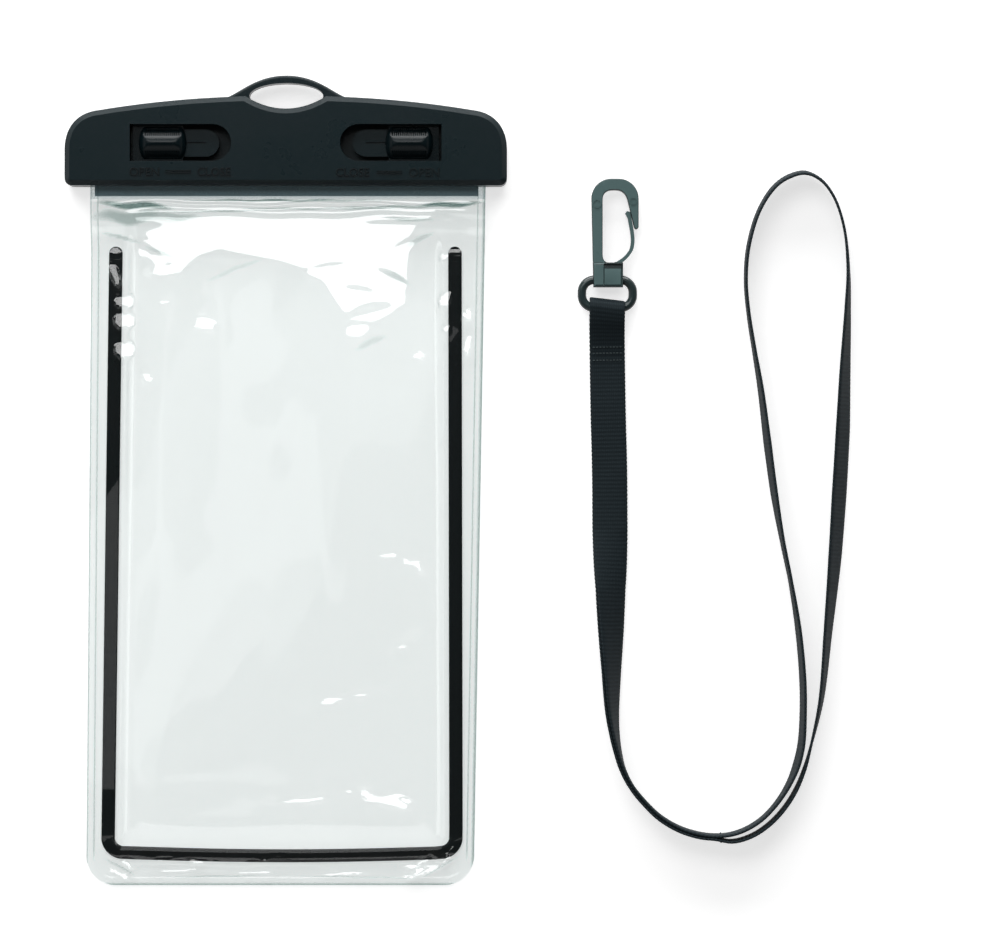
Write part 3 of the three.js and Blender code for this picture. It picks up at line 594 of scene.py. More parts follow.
def inside_strip(x, y):
    """Distance inwards from the strip's middle line, and how far it belongs to the strip's foot."""
    side = np.minimum(x - strip_x(0, y), strip_x(1, y) - x)
    foot = y - STRIP["foot_y"] + STRIP["sag"] * np.cos(np.clip(x / 45, -1, 1) * math.pi / 2)
    r = STRIP["corner"]
    a = r - side
    b = r - foot
    inside = r - np.hypot(np.maximum(a, 0), np.maximum(b, 0)) - np.minimum(np.maximum(a, b), 0)
    turn = np.where((a > 0) & (b > 0), np.arctan2(np.maximum(b, 0), np.maximum(a, 1e-6)) / (math.pi / 2), 0.0)
    belongs = np.where((a > 0) & (b > 0), turn, (b > a).astype(float))
    return inside, belongs


# Folds and dents of the front film, from the photograph's own places:
# x, y, half length, half width (mm), angle from +X (degrees), height (mm)
CREASES = (
    (-37.2, 28.0, 2.2, 1.2, 0, 0.2), (35.8, 10.9, 3.0, 0.9, -20, 0.2), (31.5, -21.5, 6.4, 1.2, -14, 0.3),
    (33.6, -44.0, 4.6, 1.0, 38, 0.28), (20.5, -59.3, 11.0, 1.3, 9, 0.26),
    (24.5, -86.0, 11.5, 1.6, -12, 0.34), (8.0, -86.6, 10.0, 1.2, 6, 0.18),
    (-26.5, -71.9, 5.5, 0.8, 4, 0.14), (-19.5, -82.0, 15.0, 1.8, 0, 0.2), (22.5, 45.4, 4.6, 1.5, 18, -0.34),
    (20.0, 51.5, 4.0, 1.0, -10, -0.12), (29.0, 54.8, 4.4, 1.1, -30, -0.26),
    (33.0, 64.5, 5.5, 1.0, 28, -0.24), (37.5, 53.0, 3.4, 0.9, 16, -0.2),
    (-38.0, 62.5, 5.0, 0.9, -28, -0.22), (-46.5, 67.0, 6.0, 0.7, -8, -0.2),
    (-40.5, 57.0, 2.5, 0.8, 5, -0.2), (12.0, 58.0, 6.0, 1.0, 8, -0.06), (-36.0, -103.5, 9.0, 0.8, 2, 0.3),
    (-14.0, -104.4, 7.0, 0.7, -3, 0.25), (-2.0, -102.9, 2.5, 0.6, 0, 0.3),
    (22.0, -105.6, 12.0, 0.9, 3, 0.22), (40.0, -104.5, 7.0, 0.9, 28, 0.4),
    (44.0, -101.5, 5.0, 0.8, 40, 0.3), (-47.0, -105.0, 4.0, 0.9, -38, 0.3),
    (-28.0, -107.0, 12.0, 0.7, 1, 0.15),
)

# Small flat facets of the front film, turned so that they show the main softbox to the camera:
# x, y, half length, half width (mm), angle from +X (degrees)
FACETS = (
    (-46.9, 56.3, 1.2, 3.4, 22), (-44.3, 49.0, 2.9, 1.8, 5), (-44.1, 43.7, 3.2, 1.9, 6),
    (-44.1, 35.8, 3.0, 2.2, 4), (-37.4, 28.0, 1.6, 2.4, 0), (-32.9, 48.6, 1.5, 1.0, 10),
    (-22.0, 42.9, 3.4, 2.1, -25), (43.0, 61.0, 1.3, 1.2, 0), (43.2, 49.6, 1.5, 2.4, -20),
    (43.4, 41.5, 1.0, 1.2, 0), (49.2, 45.2, 1.3, 1.3, 0), (49.3, 37.3, 1.1, 2.7, -8),
    (35.8, 34.2, 2.6, 1.3, 12), (43.3, 10.9, 0.8, 0.6, 0), (43.3, 5.7, 0.7, 0.55, 0),
    (43.2, -1.1, 0.7, 0.55, 0), (43.2, -9.5, 0.8, 0.65, 0), (43.3, -17.4, 0.7, 0.55, 0),
    (43.3, -26.1, 0.7, 0.55, 0), (43.4, -32.6, 0.6, 0.45, 0), (36.0, 11.0, 2.2, 0.8, -25),
    (35.6, 3.3, 1.6, 0.6, -5), (28.0, -20.3, 3.6, 1.6, 4), (34.6, -22.6, 4.4, 1.2, -34),
    (33.4, -44.6, 3.8, 1.0, 32), (17.0, -58.6, 8.0, 1.1, 4), (26.5, -60.8, 5.4, 0.8, 14),
    (19.0, -84.6, 5.0, 1.5, 0), (26.5, -86.6, 8.0, 1.7, -14), (5.0, -86.8, 6.5, 1.0, 5),
    (-27.0, -71.9, 5.0, 0.7, 3), (-46.8, 62.6, 2.1, 1.2, 0), (45.8, 62.8, 2.1, 1.2, 0),
    (19.4, 40.8, 3.1, 2.3, 8), (-34.0, -103.2, 2.6, 0.6, 5), (-25.0, -103.8, 3.4, 0.6, -3),
    (-6.0, -102.9, 1.6, 0.5, 0), (36.0, -104.6, 4.2, 0.8, 30), (43.5, -103.2, 2.2, 0.7, 42),
    (-44.0, -104.4, 2.4, 0.6, -35), (-30.0, -106.3, 6.0, 0.7, 2), (-9.0, -106.8, 4.5, 0.6, -4),
    (17.0, -106.9, 6.5, 0.65, 2), (37.5, -106.6, 5.0, 0.8, 22), (-46.0, -107.0, 3.2, 0.8, -28),
    (-33.5, 57.0, 4.0, 1.6, 6), (10.0, -60.8, 3.0, 0.5, -6), (12.0, -79.0, 6.0, 0.5, 8),
    (31.0, -79.8, 4.5, 0.5, -20),
)

# Painted dark reflections of the closure beside it, and painted crease shade: x, y, half length, half width
# (mm), angle, strength
PAINTED_SHADES = (
    (-41.0, 75.0, 10.5, 1.05, -3, 0.95), (-42.0, 71.9, 11.5, 2.0, 0, 0.45),
    (-30.5, 72.0, 7.0, 1.2, -2, 0.35), (44.0, 75.2, 9.5, 0.8, 3, 0.95), (30.0, 74.6, 18.0, 0.35, 1, 0.55),
    (0.0, 76.35, 30.0, 0.3, 0, 0.8), (10.0, 74.1, 26.0, 0.28, 0, 0.4), (-20.0, 73.4, 18.0, 0.3, 1, 0.35),
    (33.5, 71.2, 7.0, 0.6, -2, 0.3), (-45.0, 66.3, 6.0, 0.55, -14, 0.3), (-34.0, 62.0, 5.0, 0.6, -24, 0.25),
    (36.0, 65.5, 5.0, 0.7, 28, 0.22), (-20.0, -107.9, 15.0, 0.28, 1, 0.2),
    (20.0, -108.1, 17.0, 0.28, -1, 0.2), (-45.5, -105.4, 5.0, 0.3, -28, 0.22),
    (42.0, -105.2, 6.0, 0.3, 30, 0.25), (30.0, 55.2, 4.2, 0.9, -28, 0.2), (23.0, 37.5, 5.0, 1.0, 22, 0.14),
    (-14.0, 57.5, 9.0, 0.6, 22, 0.12),
)

# Ripples beside the mouth: y of the crest, half width, height, and the x range that they fill (mm)
RIPPLES = (
    (75.2, 0.5, 0.5, -52, 54), (73.2, 0.9, 0.35, -52, 60), (70.4, 1.3, 0.4, -62, -30),
    (71.2, 0.8, 0.3, 18, 50),
)

# Painted shadow lines at the film's cut right, foot and left edges: how far in they reach (mm) and their
# strength
RIM_PAINTED_SHADOWS = ((1.0, 0.6), (0.9, 0.55), (0.5, 0.4))

# The facets' outline, from round (2) to square, its soft rim, and the height taken for their places (mm)
FACET_POWER = 2.6
FACET_SOFT = (0.8, 1.2)
FACET_Z = 5.0

# The bright swell below the mouth: how steeply it rises, how softly it turns and how far down it fades (mm),
# and its lower edge as x and y (mm)
SWELL_SLOPE = 0.135
SWELL_SOFT = 0.7
SWELL_FADE = 48.0
SWELL_EDGE = (
    (-60, 50.0), (-44, 53.0), (-38, 54.0), (-33, 54.5), (-29, 56.0), (-24, 61.0), (-18, 63.5), (-12, 62.0),
    (-4, 59.5), (4, 56.5), (10, 53.5), (13, 48.5), (16, 44.0), (19, 42.0), (23, 43.5), (30, 46.0),
    (36, 49.5), (40, 54.0), (44, 60.0), (60, 64.0),
)


def turned(x, y, patch):
    """Places along and across a patch that has a centre and an angle."""
    c, s = math.cos(math.radians(patch[4])), math.sin(math.radians(patch[4]))
    return (x - patch[0]) * c + (y - patch[1]) * s, (y - patch[1]) * c - (x - patch[0]) * s


def ridge(x, y, crease):
    along, across = turned(x, y, crease)
    half_long, half_wide, height = crease[2], crease[3], crease[5]
    across = across + 0.035 * along * along / half_long
    return height * np.exp(-(along / half_long) ** 2 - (across / half_wide) ** 2)


def show_softbox(z, x, y, facet):
    """Flattens one facet of the film and turns it halfway between the camera and the main softbox."""
    along, across = turned(x, y, facet)
    reach = np.abs(along / facet[2]) ** FACET_POWER + np.abs(across / facet[3]) ** FACET_POWER
    share = 1 - smoothstep(*FACET_SOFT, reach)
    here = Vector((facet[0], facet[1], FACET_Z)) * MM
    halfway = (Vector(CAMERA) - here).normalized() + (Vector(KEY_CENTRE) - here).normalized()
    middle = np.argmin((x - facet[0]) ** 2 + (y - facet[1]) ** 2)
    plane = z.flat[middle] - ((x - facet[0]) * halfway.x + (y - facet[1]) * halfway.y) / halfway.z
    over_strip = (reach < 1.0) & (z > STRIP_CLEAR_Z - 0.1)
    plane = plane + max(0.0, float(np.max(np.where(over_strip, STRIP_CLEAR_Z - plane, 0.0))))
    return z + share * (plane - z)


def painted_shade_share(x, y, u, v):
    """Painted darkening of the front film: painted reflections by the closure, painted rim shadow and a darker
    weld line.
    """
    sides = np.minimum(u, FILM_WIDTH - u)
    share = 0.4 * np.exp(-((sides - 2.0) / 0.16) ** 2) * smoothstep(6.0, 10.0, v)
    # Painted dark reflections of the closure and painted crease shade
    for patch in PAINTED_SHADES:
        along, across = turned(x, y, patch)
        across = across + 0.3 * np.sin(along * 0.5 + patch[0]) * patch[3]
        inside = 1 - smoothstep(0.45, 1.15, np.hypot(along / patch[2], across / patch[3]))
        share = np.maximum(share, inside * patch[5])
    # Painted shadow along the film's cut rim
    for distance, (reach, strength) in zip((FILM_WIDTH - u, v, u), RIM_PAINTED_SHADOWS):
        share = np.maximum(share, strength * (1 - smoothstep(0.1, reach, distance)))
    return share


def swell_rise(x, y):
    """How far the film swells up below the mouth (mm)."""
    edge = np.interp(x, *np.array(SWELL_EDGE, dtype=float).T)
    top = edge + SWELL_SOFT * np.logaddexp(0.0, (y - edge) / SWELL_SOFT)
    fade = np.exp(-(np.maximum(edge - y, 0.0) / SWELL_FADE) ** 2)
    return SWELL_SLOPE * np.maximum(MOUTH_Y[1] - top, 0.0) * fade


def ripple_rise(x, y, ripple):
    """How far one ripple beside the mouth rises (mm)."""
    crest, half_wide, height, x0, x1 = ripple
    line = crest + 0.35 * np.sin(x * 0.13 + crest) + 0.2 * np.sin(x * 0.31)
    fade = smoothstep(x0, x0 + 12, x) * (1 - smoothstep(x1 - 12, x1, x))
    return height * np.exp(-((y - line) / half_wide) ** 2) * fade


def front_film_z(x, y, amount):
    """Height of the front film's underside (mm)."""
    inside, foot = inside_strip(x, y)
    half = STRIP["width"] / 2
    over = OVER_STRIP_Z + 0.45 * foot
    on_strip = smoothstep(-half - 1.4, -half - 0.3 + 1.6 * foot, inside) * (over - RIM_Z)
    climb = smoothstep(half + 0.1 - STRIP["width"] * foot, half + 4.6 + 4.4 * foot, inside)
    z = RIM_Z + on_strip + climb * (WINDOW_Z - over)
    z = z + (MOUTH_Z - z) * mouth_share(y)
    free = smoothstep(3.0, 14.0, inside)
    z = z + amount * swell_rise(x, y) * free
    waves = (0.26 * np.sin(x * 0.11 + 0.9 * np.sin(y * 0.05)) * np.sin(y * 0.07 + 1.3)
             + 0.03 * np.sin(x * 0.31 + y * 0.12) + 0.02 * np.sin(y * 0.29 - x * 0.17 + 2.0))
    z = z + amount * waves * free * (1 - mouth_share(y))
    for crease in CREASES:
        z = z + amount * ridge(x, y, crease) * (1 - smoothstep(72.5, 75.5, y))
    for ripple in RIPPLES:
        z = z + amount * ripple_rise(x, y, ripple)
    if amount > 0:
        for facet in FACETS:
            z = show_softbox(z, x, y, facet)
    return z


def weld_bead(u, v):
    """The pressed weld along the two sides and the foot, as a height over the film (mm)."""
    a = np.maximum(FILM_CORNER - np.minimum(u, FILM_WIDTH - u), 0)
    b = np.maximum(FILM_CORNER - v, 0)
    distance = np.where((a > 0) & (b > 0), FILM_CORNER - np.hypot(a, b), rim_distance(u, v))
    line = np.exp(-((distance - 1.9) / 0.22) ** 2)
    band = smoothstep(0.0, 0.3, distance) * (1 - smoothstep(1.5, 2.1, distance))
    return 0.12 * band + 0.2 * line


def mark_points(mesh, title, values):
    """Stores a value for each point of a thin solid, the same on both of its sides."""
    layer = mesh.attributes.new(title, "FLOAT", "POINT")
    layer.data.foreach_set("value", np.tile(values.reshape(-1), 2).astype(np.float32))


def make_front_film(settings):
    half_run = spaced((0.3, 0.15), (3.0, 0.2), (13.5, 0.4), (FILM_WIDTH / 2, 1.05))
    up = spaced((0.3, 0.15), (3.0, 0.2), (24.0, 0.45), (143.0, 1.0), (180.0, 0.55), (188.0, 0.28),
                (FILM_END_Y - FILM_FOOT_Y, 1.2))
    x, y, u, v = film_points(half_run, up)
    held = smoothstep(*HELD_Y, y)
    under = front_film_z(x, y, settings.wrinkles) * (1 - held) + MOUTH_Z * held
    top = under + settings.film_thickness / MM + weld_bead(u, v) * (1 - held)
    mesh = thin_solid("front_film_sheet", x, y, top, under, 60)
    # Shade holds painted dark reflections and painted rim shadow for the film's material
    mark_points(mesh, "Shade", painted_shade_share(x, y, u, v))
    mark_points(mesh, "Haze", MILKY_SHARE * smoothstep(*MILKY_Y, y))
    piece = dress("front_film_sheet", mesh, None, film_material(settings), ("front_film",))
    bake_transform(piece)


def make_rear_film(settings):
    half_run = spaced((0.6, 0.3), (3.0, 0.6), (FILM_WIDTH / 2, 3.0))
    up = spaced((0.6, 0.3), (3.0, 0.6), (12.0, 1.5), (160.0, 3.0), (FILM_END_Y - FILM_FOOT_Y, 1.0))
    x, y, u, v = film_points(half_run, up)
    waves = 0.05 * (1 + np.sin(x * 0.16 + 1.1 * np.sin(y * 0.07))) * (1 - mouth_share(y))
    under = REAR_MOUTH_Z * mouth_share(y) + 0.02 + waves * smoothstep(3.0, 12.0, rim_distance(u, v))
    top = under + settings.film_thickness / MM - 0.04
    mesh = thin_solid("rear_film_sheet", x, y, top, under, 60)
    dress("rear_film_sheet", mesh, "root", film_material(settings), ("rear_film",))


def strip_path():
    """Middle line of the strip as x, y, height of its underside, lean (degrees) and half width (mm)."""
    r = STRIP["corner"]
    half = STRIP["width"] / 2
    foot_y = STRIP["foot_y"]
    lift = math.sin(math.radians(STRIP["tilt"])) * half
    legs = np.concatenate([STRIP["top_y"] - half * (1 - np.cos(np.linspace(0, math.pi / 2, 9))),
                           np.arange(STRIP["top_y"] - half - 1.0, foot_y + r + 1, -2.0), [foot_y + r]])
    stations = []
    for y in legs:
        past = STRIP["top_y"] - y
        wide = half if past >= half else math.sqrt(max(half ** 2 - (half - past) ** 2, 0.0))
        stations.append((strip_x(0, y), y, 0.0, 0.0, max(wide, 0.02)))
    for turn in np.linspace(0, 1, 13)[1:]:
        angle = turn * math.pi / 2
        x = strip_x(0, foot_y) + r * (1 - math.cos(angle))
        stations.append((x, foot_y + r * (1 - math.sin(angle)), lift * turn, STRIP["tilt"] * turn, half))
    for x in np.linspace(strip_x(0, foot_y) + r, strip_x(1, foot_y) - r, 60)[1:-1]:
        sag = STRIP["sag"] * math.sin(math.pi * (x + 45) / 90)
        stations.append((x, foot_y - sag, lift, STRIP["tilt"], half))
    shift = strip_x(0, foot_y) + strip_x(1, foot_y)
    bend = len(legs) + 12
    for x, y, z, lean, wide in reversed(stations[:bend]):
        side_x = strip_x(1, y) if y > foot_y + r else shift - x
        stations.append((side_x, y, z, lean, wide))
    return stations


def make_strip(settings):
    stations = strip_path()
    last = len(stations) - 1
    rings = np.zeros((last + 1, len(STRIP_SECTION), 3))
    for i, (x, y, z, lean, wide) in enumerate(stations):
        before = stations[max(i - 1, 0)]
        after = stations[min(i + 1, last)]
        along = Vector((after[0] - before[0], after[1] - before[1], 0)).normalized()
        outwards = Vector((along.y, -along.x, 0))
        tilt = math.radians(lean)
        wide_way = outwards * math.cos(tilt) - Vector((0, 0, math.sin(tilt)))
        up = outwards * math.sin(tilt) + Vector((0, 0, math.cos(tilt)))
        base = Vector((x, y, STRIP["floor"] + z))
        thick = STRIP["thick"] * min(1, wide / STRIP["thin_end"])
        for k, (across, high) in enumerate(STRIP_SECTION):
            rings[i, k] = base + wide_way * (across * wide) + up * (high * thick)
    mesh = mesh_of("window_strip", *swept(rings[:, ::-1]), 50)
    dress("window_strip", mesh, "root", moulded(settings, "Black Strip"), ("accent_frame",))


# Closure


def make_rails(settings):
    plastic = moulded(settings, "Rail Plastic")
    for half, body in (("rear", "root"), ("front", "front_half")):
        mesh = rounded_copy(f"{half}_rail_shell", f"{half}_rail", settings.edge_radius / MM, 3)
        even_out_normals(dress(mesh.name, mesh, body, plastic, (f"{half}_rail",)))
    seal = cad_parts["mouth_gasket"]
    seal.data.materials.clear()
    seal.data.materials.append(moulded(settings, "Seal Rubber"))


def latch_plate(name, node):
    """The latch's slotted plate, cut off below its finger grip."""
    shape = cleaned(node)
    cut_across(shape, 2, FLANGE_TOP_Z, clear_outer=True)
    open_edges = [edge for edge in shape.edges if len(edge.link_faces) == 1]
    if open_edges:
        bmesh.ops.holes_fill(shape, edges=open_edges, sides=0)
    return mesh_of(name, *taken_from(shape))


def grip_mesh(name, side):
    """The crowned finger grip, with fine ribs on both flanks."""
    columns, rows = 217, 49
    u, v = np.meshgrid(np.linspace(-1, 1, columns), np.linspace(-1, 1, rows))
    centre = side * (KNOB["outer"] - KNOB["length"] / 2)
    x = u * KNOB["length"] / 2 * np.sqrt(1 - KNOB["round"] * v * v) + centre
    y = v * KNOB["width"] / 2 + LATCH_Y
    fall = np.cbrt(np.abs(v) ** 4.5 + np.abs(u) ** 18) * (KNOB["crest"] - KNOB["edge"])
    ribs = smoothstep(-0.4, 0.4, np.cos(math.pi * KNOB["ribs"] * (u + 1 / KNOB["ribs"])))
    depth = np.zeros_like(v)
    for flank, deep, start, end in KNOB_GROOVES:
        depth += deep * smoothstep(*start, flank * v) * (1 - smoothstep(*end, flank * v))
    inner = 1 - smoothstep(*KNOB_GROOVE_ENDS, np.abs(u))
    z = np.maximum(KNOB["crest"] - fall - (1 - ribs) * inner * depth, FLANGE_TOP_Z + 0.06)
    return thin_solid(name, x, y, z, np.full_like(z, FLANGE_TOP_Z - 0.02), 55)


def make_latches(settings):
    plastic = moulded(settings, "Latch Plastic")
    for side, word in ((-1, "left"), (1, "right")):
        plate = latch_plate(f"{word}_latch_plate", f"{word}_latch")
        grip = grip_mesh(f"{word}_latch_grip", side)
        dress(plate.name, plate, f"{word}_slider", plastic, (f"{word}_latch",))
        dress(grip.name, grip, f"{word}_slider", plastic)


def word_shape(word, x0, x1, y):
    """Raised letters between x0 and x1, as a bmesh in metres."""
    curve = bpy.data.curves.new("word", "FONT")
    curve.body = word
    curve.extrude = 0.02
    curve.bevel_depth = 0.02
    curve.bevel_resolution = 0
    curve.resolution_u = 3
    holder = bpy.data.objects.new("word", curve)
    bpy.context.scene.collection.objects.link(holder)
    bpy.context.view_layer.update()
    mesh = bpy.data.meshes.new_from_object(holder.evaluated_get(bpy.context.evaluated_depsgraph_get()))
    shape = bmesh.new()
    shape.from_mesh(mesh)
    bpy.data.objects.remove(holder)
    bpy.data.curves.remove(curve)
    bpy.data.meshes.remove(mesh)
    bmesh.ops.remove_doubles(shape, verts=shape.verts, dist=1e-5)
    low = [min(vert.co[i] for vert in shape.verts) for i in range(3)]
    high = [max(vert.co[i] for vert in shape.verts) for i in range(3)]
    target_low = (x0, y - WORD_HEIGHT / 2, FACE_Z - LETTER_RISE)
    target_high = (x1, y + WORD_HEIGHT / 2, FACE_Z + LETTER_RISE)
    for vert in shape.verts:
        for i in range(3):
            share = (vert.co[i] - low[i]) / (high[i] - low[i])
            vert.co[i] = (target_low[i] + share * (target_high[i] - target_low[i])) * MM
    return shape


def bar_shape(x0, x1, y, height):
    shape = bmesh.new()
    bmesh.ops.create_cube(shape, size=1.0)
    for vert in shape.verts:
        vert.co.x = (x0 if vert.co.x < 0 else x1) * MM
        vert.co.y = (y + math.copysign(height / 2, vert.co.y)) * MM
        vert.co.z = (FACE_Z + math.copysign(LETTER_RISE, vert.co.z)) * MM
    return shape


def make_lettering(settings):
    """The raised words and bars under the two latches."""
    shapes = [word_shape(*word) for word in WORDS] + [bar_shape(*bar) for bar in BARS]
    mesh = mesh_of("latch_words", *merged(taken_from(shape) for shape in shapes))
    dress("latch_words", mesh, "front_half", moulded(settings, "Letter Plastic"))


# Neck strap


def heading(points, i):
    """Direction of a route in plan at one of its stations."""
    before = points[max(i - 1, 0)]
    after = points[min(i + 1, len(points) - 1)]
    along = np.array([after[0] - before[0], after[1] - before[1], 0.0])
    return along / np.linalg.norm(along)


def band_stations(route, thick):
    """Points and width directions of the band along a route."""
    points = []
    widths = []
    for i, (x, y, lean) in enumerate(route):
        angle = math.radians(lean)
        z = STRAP["floor"] + thick / 2 * math.cos(angle) + STRAP["width"] / 2 * math.sin(angle)
        points.append(np.array([x, y, z]))
        along = heading(route, i)
        widths.append(np.array([along[1] * math.cos(angle), -along[0] * math.cos(angle), math.sin(angle)]))
    return points, widths


def strap_route():
    """The strap's middle line and width directions, from the tab at the ring round the loop and back (mm)."""
    doubled, doubled_widths = band_stations(DOUBLED_RUN, 2 * STRAP["thick"] + STRAP["layer_gap"])
    single, single_widths = band_stations(LOOSE_LOOP, STRAP["thick"])
    fold_radius = RING["wire"] / 2 + TAB_CORNER + STRAP["thick"] / 2
    layer = (STRAP["thick"] + STRAP["layer_gap"]) / 2
    upper = []
    lower = []
    for i, point in enumerate(doubled):
        near = 1 - float(smoothstep(0.0, RING["foot_y"] - STRAP["fold_at"], RING["foot_y"] - point[1]))
        face = np.cross(doubled_widths[i], heading(doubled, i))
        middle = point.copy()
        middle[2] += (RING["z"] - point[2]) * near
        reach = layer + (fold_radius - layer) * near
        upper.append(middle + face * reach)
        lower.append(middle - face * reach)
    tab_end = next(i for i, station in enumerate(DOUBLED_RUN) if station[1] <= STRAP["fold_at"])
    across = doubled_widths[0]
    fold = []
    for turn in (-60, -30, 0, 30, 60):
        angle = math.radians(turn)
        fold.append(np.array([RING["x"], RING["foot_y"] + fold_radius * math.cos(angle),
                              RING["z"] + fold_radius * math.sin(angle)]))
    joint = lower[tab_end].copy()
    joint[1] -= 0.7
    points = lower[:tab_end + 1][::-1] + fold + upper + single + lower[tab_end + 1:][::-1] + [joint]
    widths = ([across] * (tab_end + 1) + [across] * len(fold) + doubled_widths + single_widths
              + doubled_widths[tab_end + 1:][::-1] + [across])
    return points, widths


def smooth_curve(points, steps):
    """A centripetal curve through the points, with equal steps between each pair."""
    dense = []
    at = []
    last = len(points) - 1
    for i in range(last):
        p1, p2 = points[i], points[i + 1]
        p0 = points[i - 1] if i > 0 else 2 * p1 - p2
        p3 = points[i + 2] if i + 2 <= last else 2 * p2 - p1
        d0, d1, d2 = (math.sqrt(np.linalg.norm(b - a)) for a, b in ((p0, p1), (p1, p2), (p2, p3)))
        t1 = ((p1 - p0) / d0 - (p2 - p0) / (d0 + d1) + (p2 - p1) / d1) * d1
        t2 = ((p2 - p1) / d1 - (p3 - p1) / (d1 + d2) + (p3 - p2) / d2) * d1
        for step in range(steps):
            t = step / steps
            bend = (-3 * p1 + 3 * p2 - 2 * t1 - t2) * t * t
            dense.append(p1 + t1 * t + bend + (2 * p1 - 2 * p2 + t1 + t2) * t ** 3)
            at.append(i + t)
    dense.append(points[-1])
    at.append(float(last))
    return np.array(dense), np.array(at)


def even_stations(points, widths, spacing):
    """Evenly spaced points along the strap, with their width and face directions and their distance (mm)."""
    dense, at = smooth_curve(points, 24)
    gaps = np.linalg.norm(np.diff(dense, axis=0), axis=1)
    distance = np.concatenate([[0.0], np.cumsum(gaps)])
    count = int(round(distance[-1] / spacing)) + 1
    even = np.linspace(0, distance[-1], count)
    place_at = np.interp(even, distance, at)
    centre = np.stack([np.interp(even, distance, dense[:, k]) for k in range(3)], -1)
    directions = np.array(widths)
    k = np.minimum(place_at.astype(int), len(points) - 2)
    share = (place_at - k)[:, None]
    wide = directions[k] * (1 - share) + directions[k + 1] * share
    tangent = np.gradient(centre, axis=0)
    tangent /= np.linalg.norm(tangent, axis=1)[:, None]
    wide -= tangent * np.sum(wide * tangent, axis=1)[:, None]
    wide /= np.linalg.norm(wide, axis=1)[:, None]
    return centre, wide, np.cross(wide, tangent), even


def make_strap(settings):
    centre, wide, face, distance = even_stations(*strap_route(), STATION_STEP)
    half_w = STRAP["width"] / 2
    half_t = STRAP["thick"] / 2
    profile = [*STRAP_SECTION, *((-across, -high) for across, high in STRAP_SECTION)]
    turn = 2 * math.pi * distance / settings.rib_pitch * MM
    hollow = RIB_DEPTH * (0.5 - 0.5 * np.cos(turn))
    selvedge = SELVEDGE_WAVE * np.cos(turn + 0.6)
    rings = np.zeros((len(centre), len(profile), 3))
    for k, (across, high) in enumerate(profile):
        depth = np.full_like(hollow, half_t * high)
        reach = np.full_like(hollow, half_w * across)
        if abs(across) < 0.95:
            depth *= 1.0 - hollow
        if abs(across) > 0.97:
            reach += np.sign(across) * selvedge
        rings[:, k] = centre + wide * reach[:, None] + face * depth[:, None]
    slant = TAB_SLANT * smoothstep(*TAB_SLANT_Y, rings[..., 1]) * (distance[:, None] < TAB_RUN[1])
    rings[..., 1] -= slant * (rings[..., 0] - RING["x"])
    mesh = mesh_of("webbing_strap", *swept(rings), 80)
    along = mesh.uv_layers.new(name="Along")
    sides = len(profile)
    corner = np.zeros(len(mesh.loops), dtype=int)
    mesh.loops.foreach_get("vertex_index", corner)
    reach = np.array([p[0] for p in profile]) * half_w * MM
    uv = np.stack([reach[corner % sides], distance[corner // sides] * MM], -1)
    along.data.foreach_set("uv", uv.reshape(-1).astype(np.float32))
    strap = dress("webbing_strap", mesh, "root", webbing_material(settings), ("neck_strap",))
    thread = make_stitches(settings, centre, wide, face, distance)


def stitch(start, end, lift):
    """One stitch, as a low arch of thread between two points."""
    count, sides = 7, 6
    radius = SEAM["thread"]
    along = (end - start) / np.linalg.norm(end - start)
    side = np.cross(lift, along)
    rings = np.zeros((count, sides, 3))
    for i in range(count):
        t = i / (count - 1)
        middle = start + (end - start) * t + lift * (radius * 1.1 * math.sin(math.pi * t) - SEAM["sunk"])
        thick = radius * (0.55 + 0.45 * math.sin(math.pi * t))
        for k in range(sides):
            angle = 2 * math.pi * k / sides
            rings[i, k] = middle + side * (thick * math.cos(angle)) + lift * (thick * math.sin(angle))
    return rings


def make_stitches(settings, centre, wide, face, distance):
    """Rows of stitches: across the strap below the ring, and where its two layers part."""
    rows = []
    for y in TAB_SEAMS_Y:
        on_tab = (distance > TAB_RUN[0]) & (distance < TAB_RUN[1])
        rows.append((np.argmin(np.where(on_tab, np.abs(centre[:, 1] - y), np.inf)), TAB_STITCHES))
    for (x, y), on_run in zip(PARTING_SEAMS, (distance < LOOP_RUN[0], distance > LOOP_RUN[1])):
        miss = np.where(on_run, np.hypot(centre[:, 0] - x, centre[:, 1] - y), np.inf)
        rows.append((np.argmin(miss), PARTING_STITCHES))
    rings = []
    for index, count in rows:
        seam = STRAP["width"] * SEAM["share"]
        base = centre[index] + face[index] * STRAP["thick"] / 2
        for i in range(count):
            start = base + wide[index] * (seam * (i / count - 0.5) + SEAM["gap"])
            end = base + wide[index] * (seam * ((i + 1) / count - 0.5) - SEAM["gap"])
            rings.append(stitch(start, end, face[index]))
    mesh = mesh_of("strap_stitches", *merged(swept(ring) for ring in rings), 70)
    return dress("strap_stitches", mesh, "root", moulded(settings, "Stitching Thread"))


# Ring and snap hook


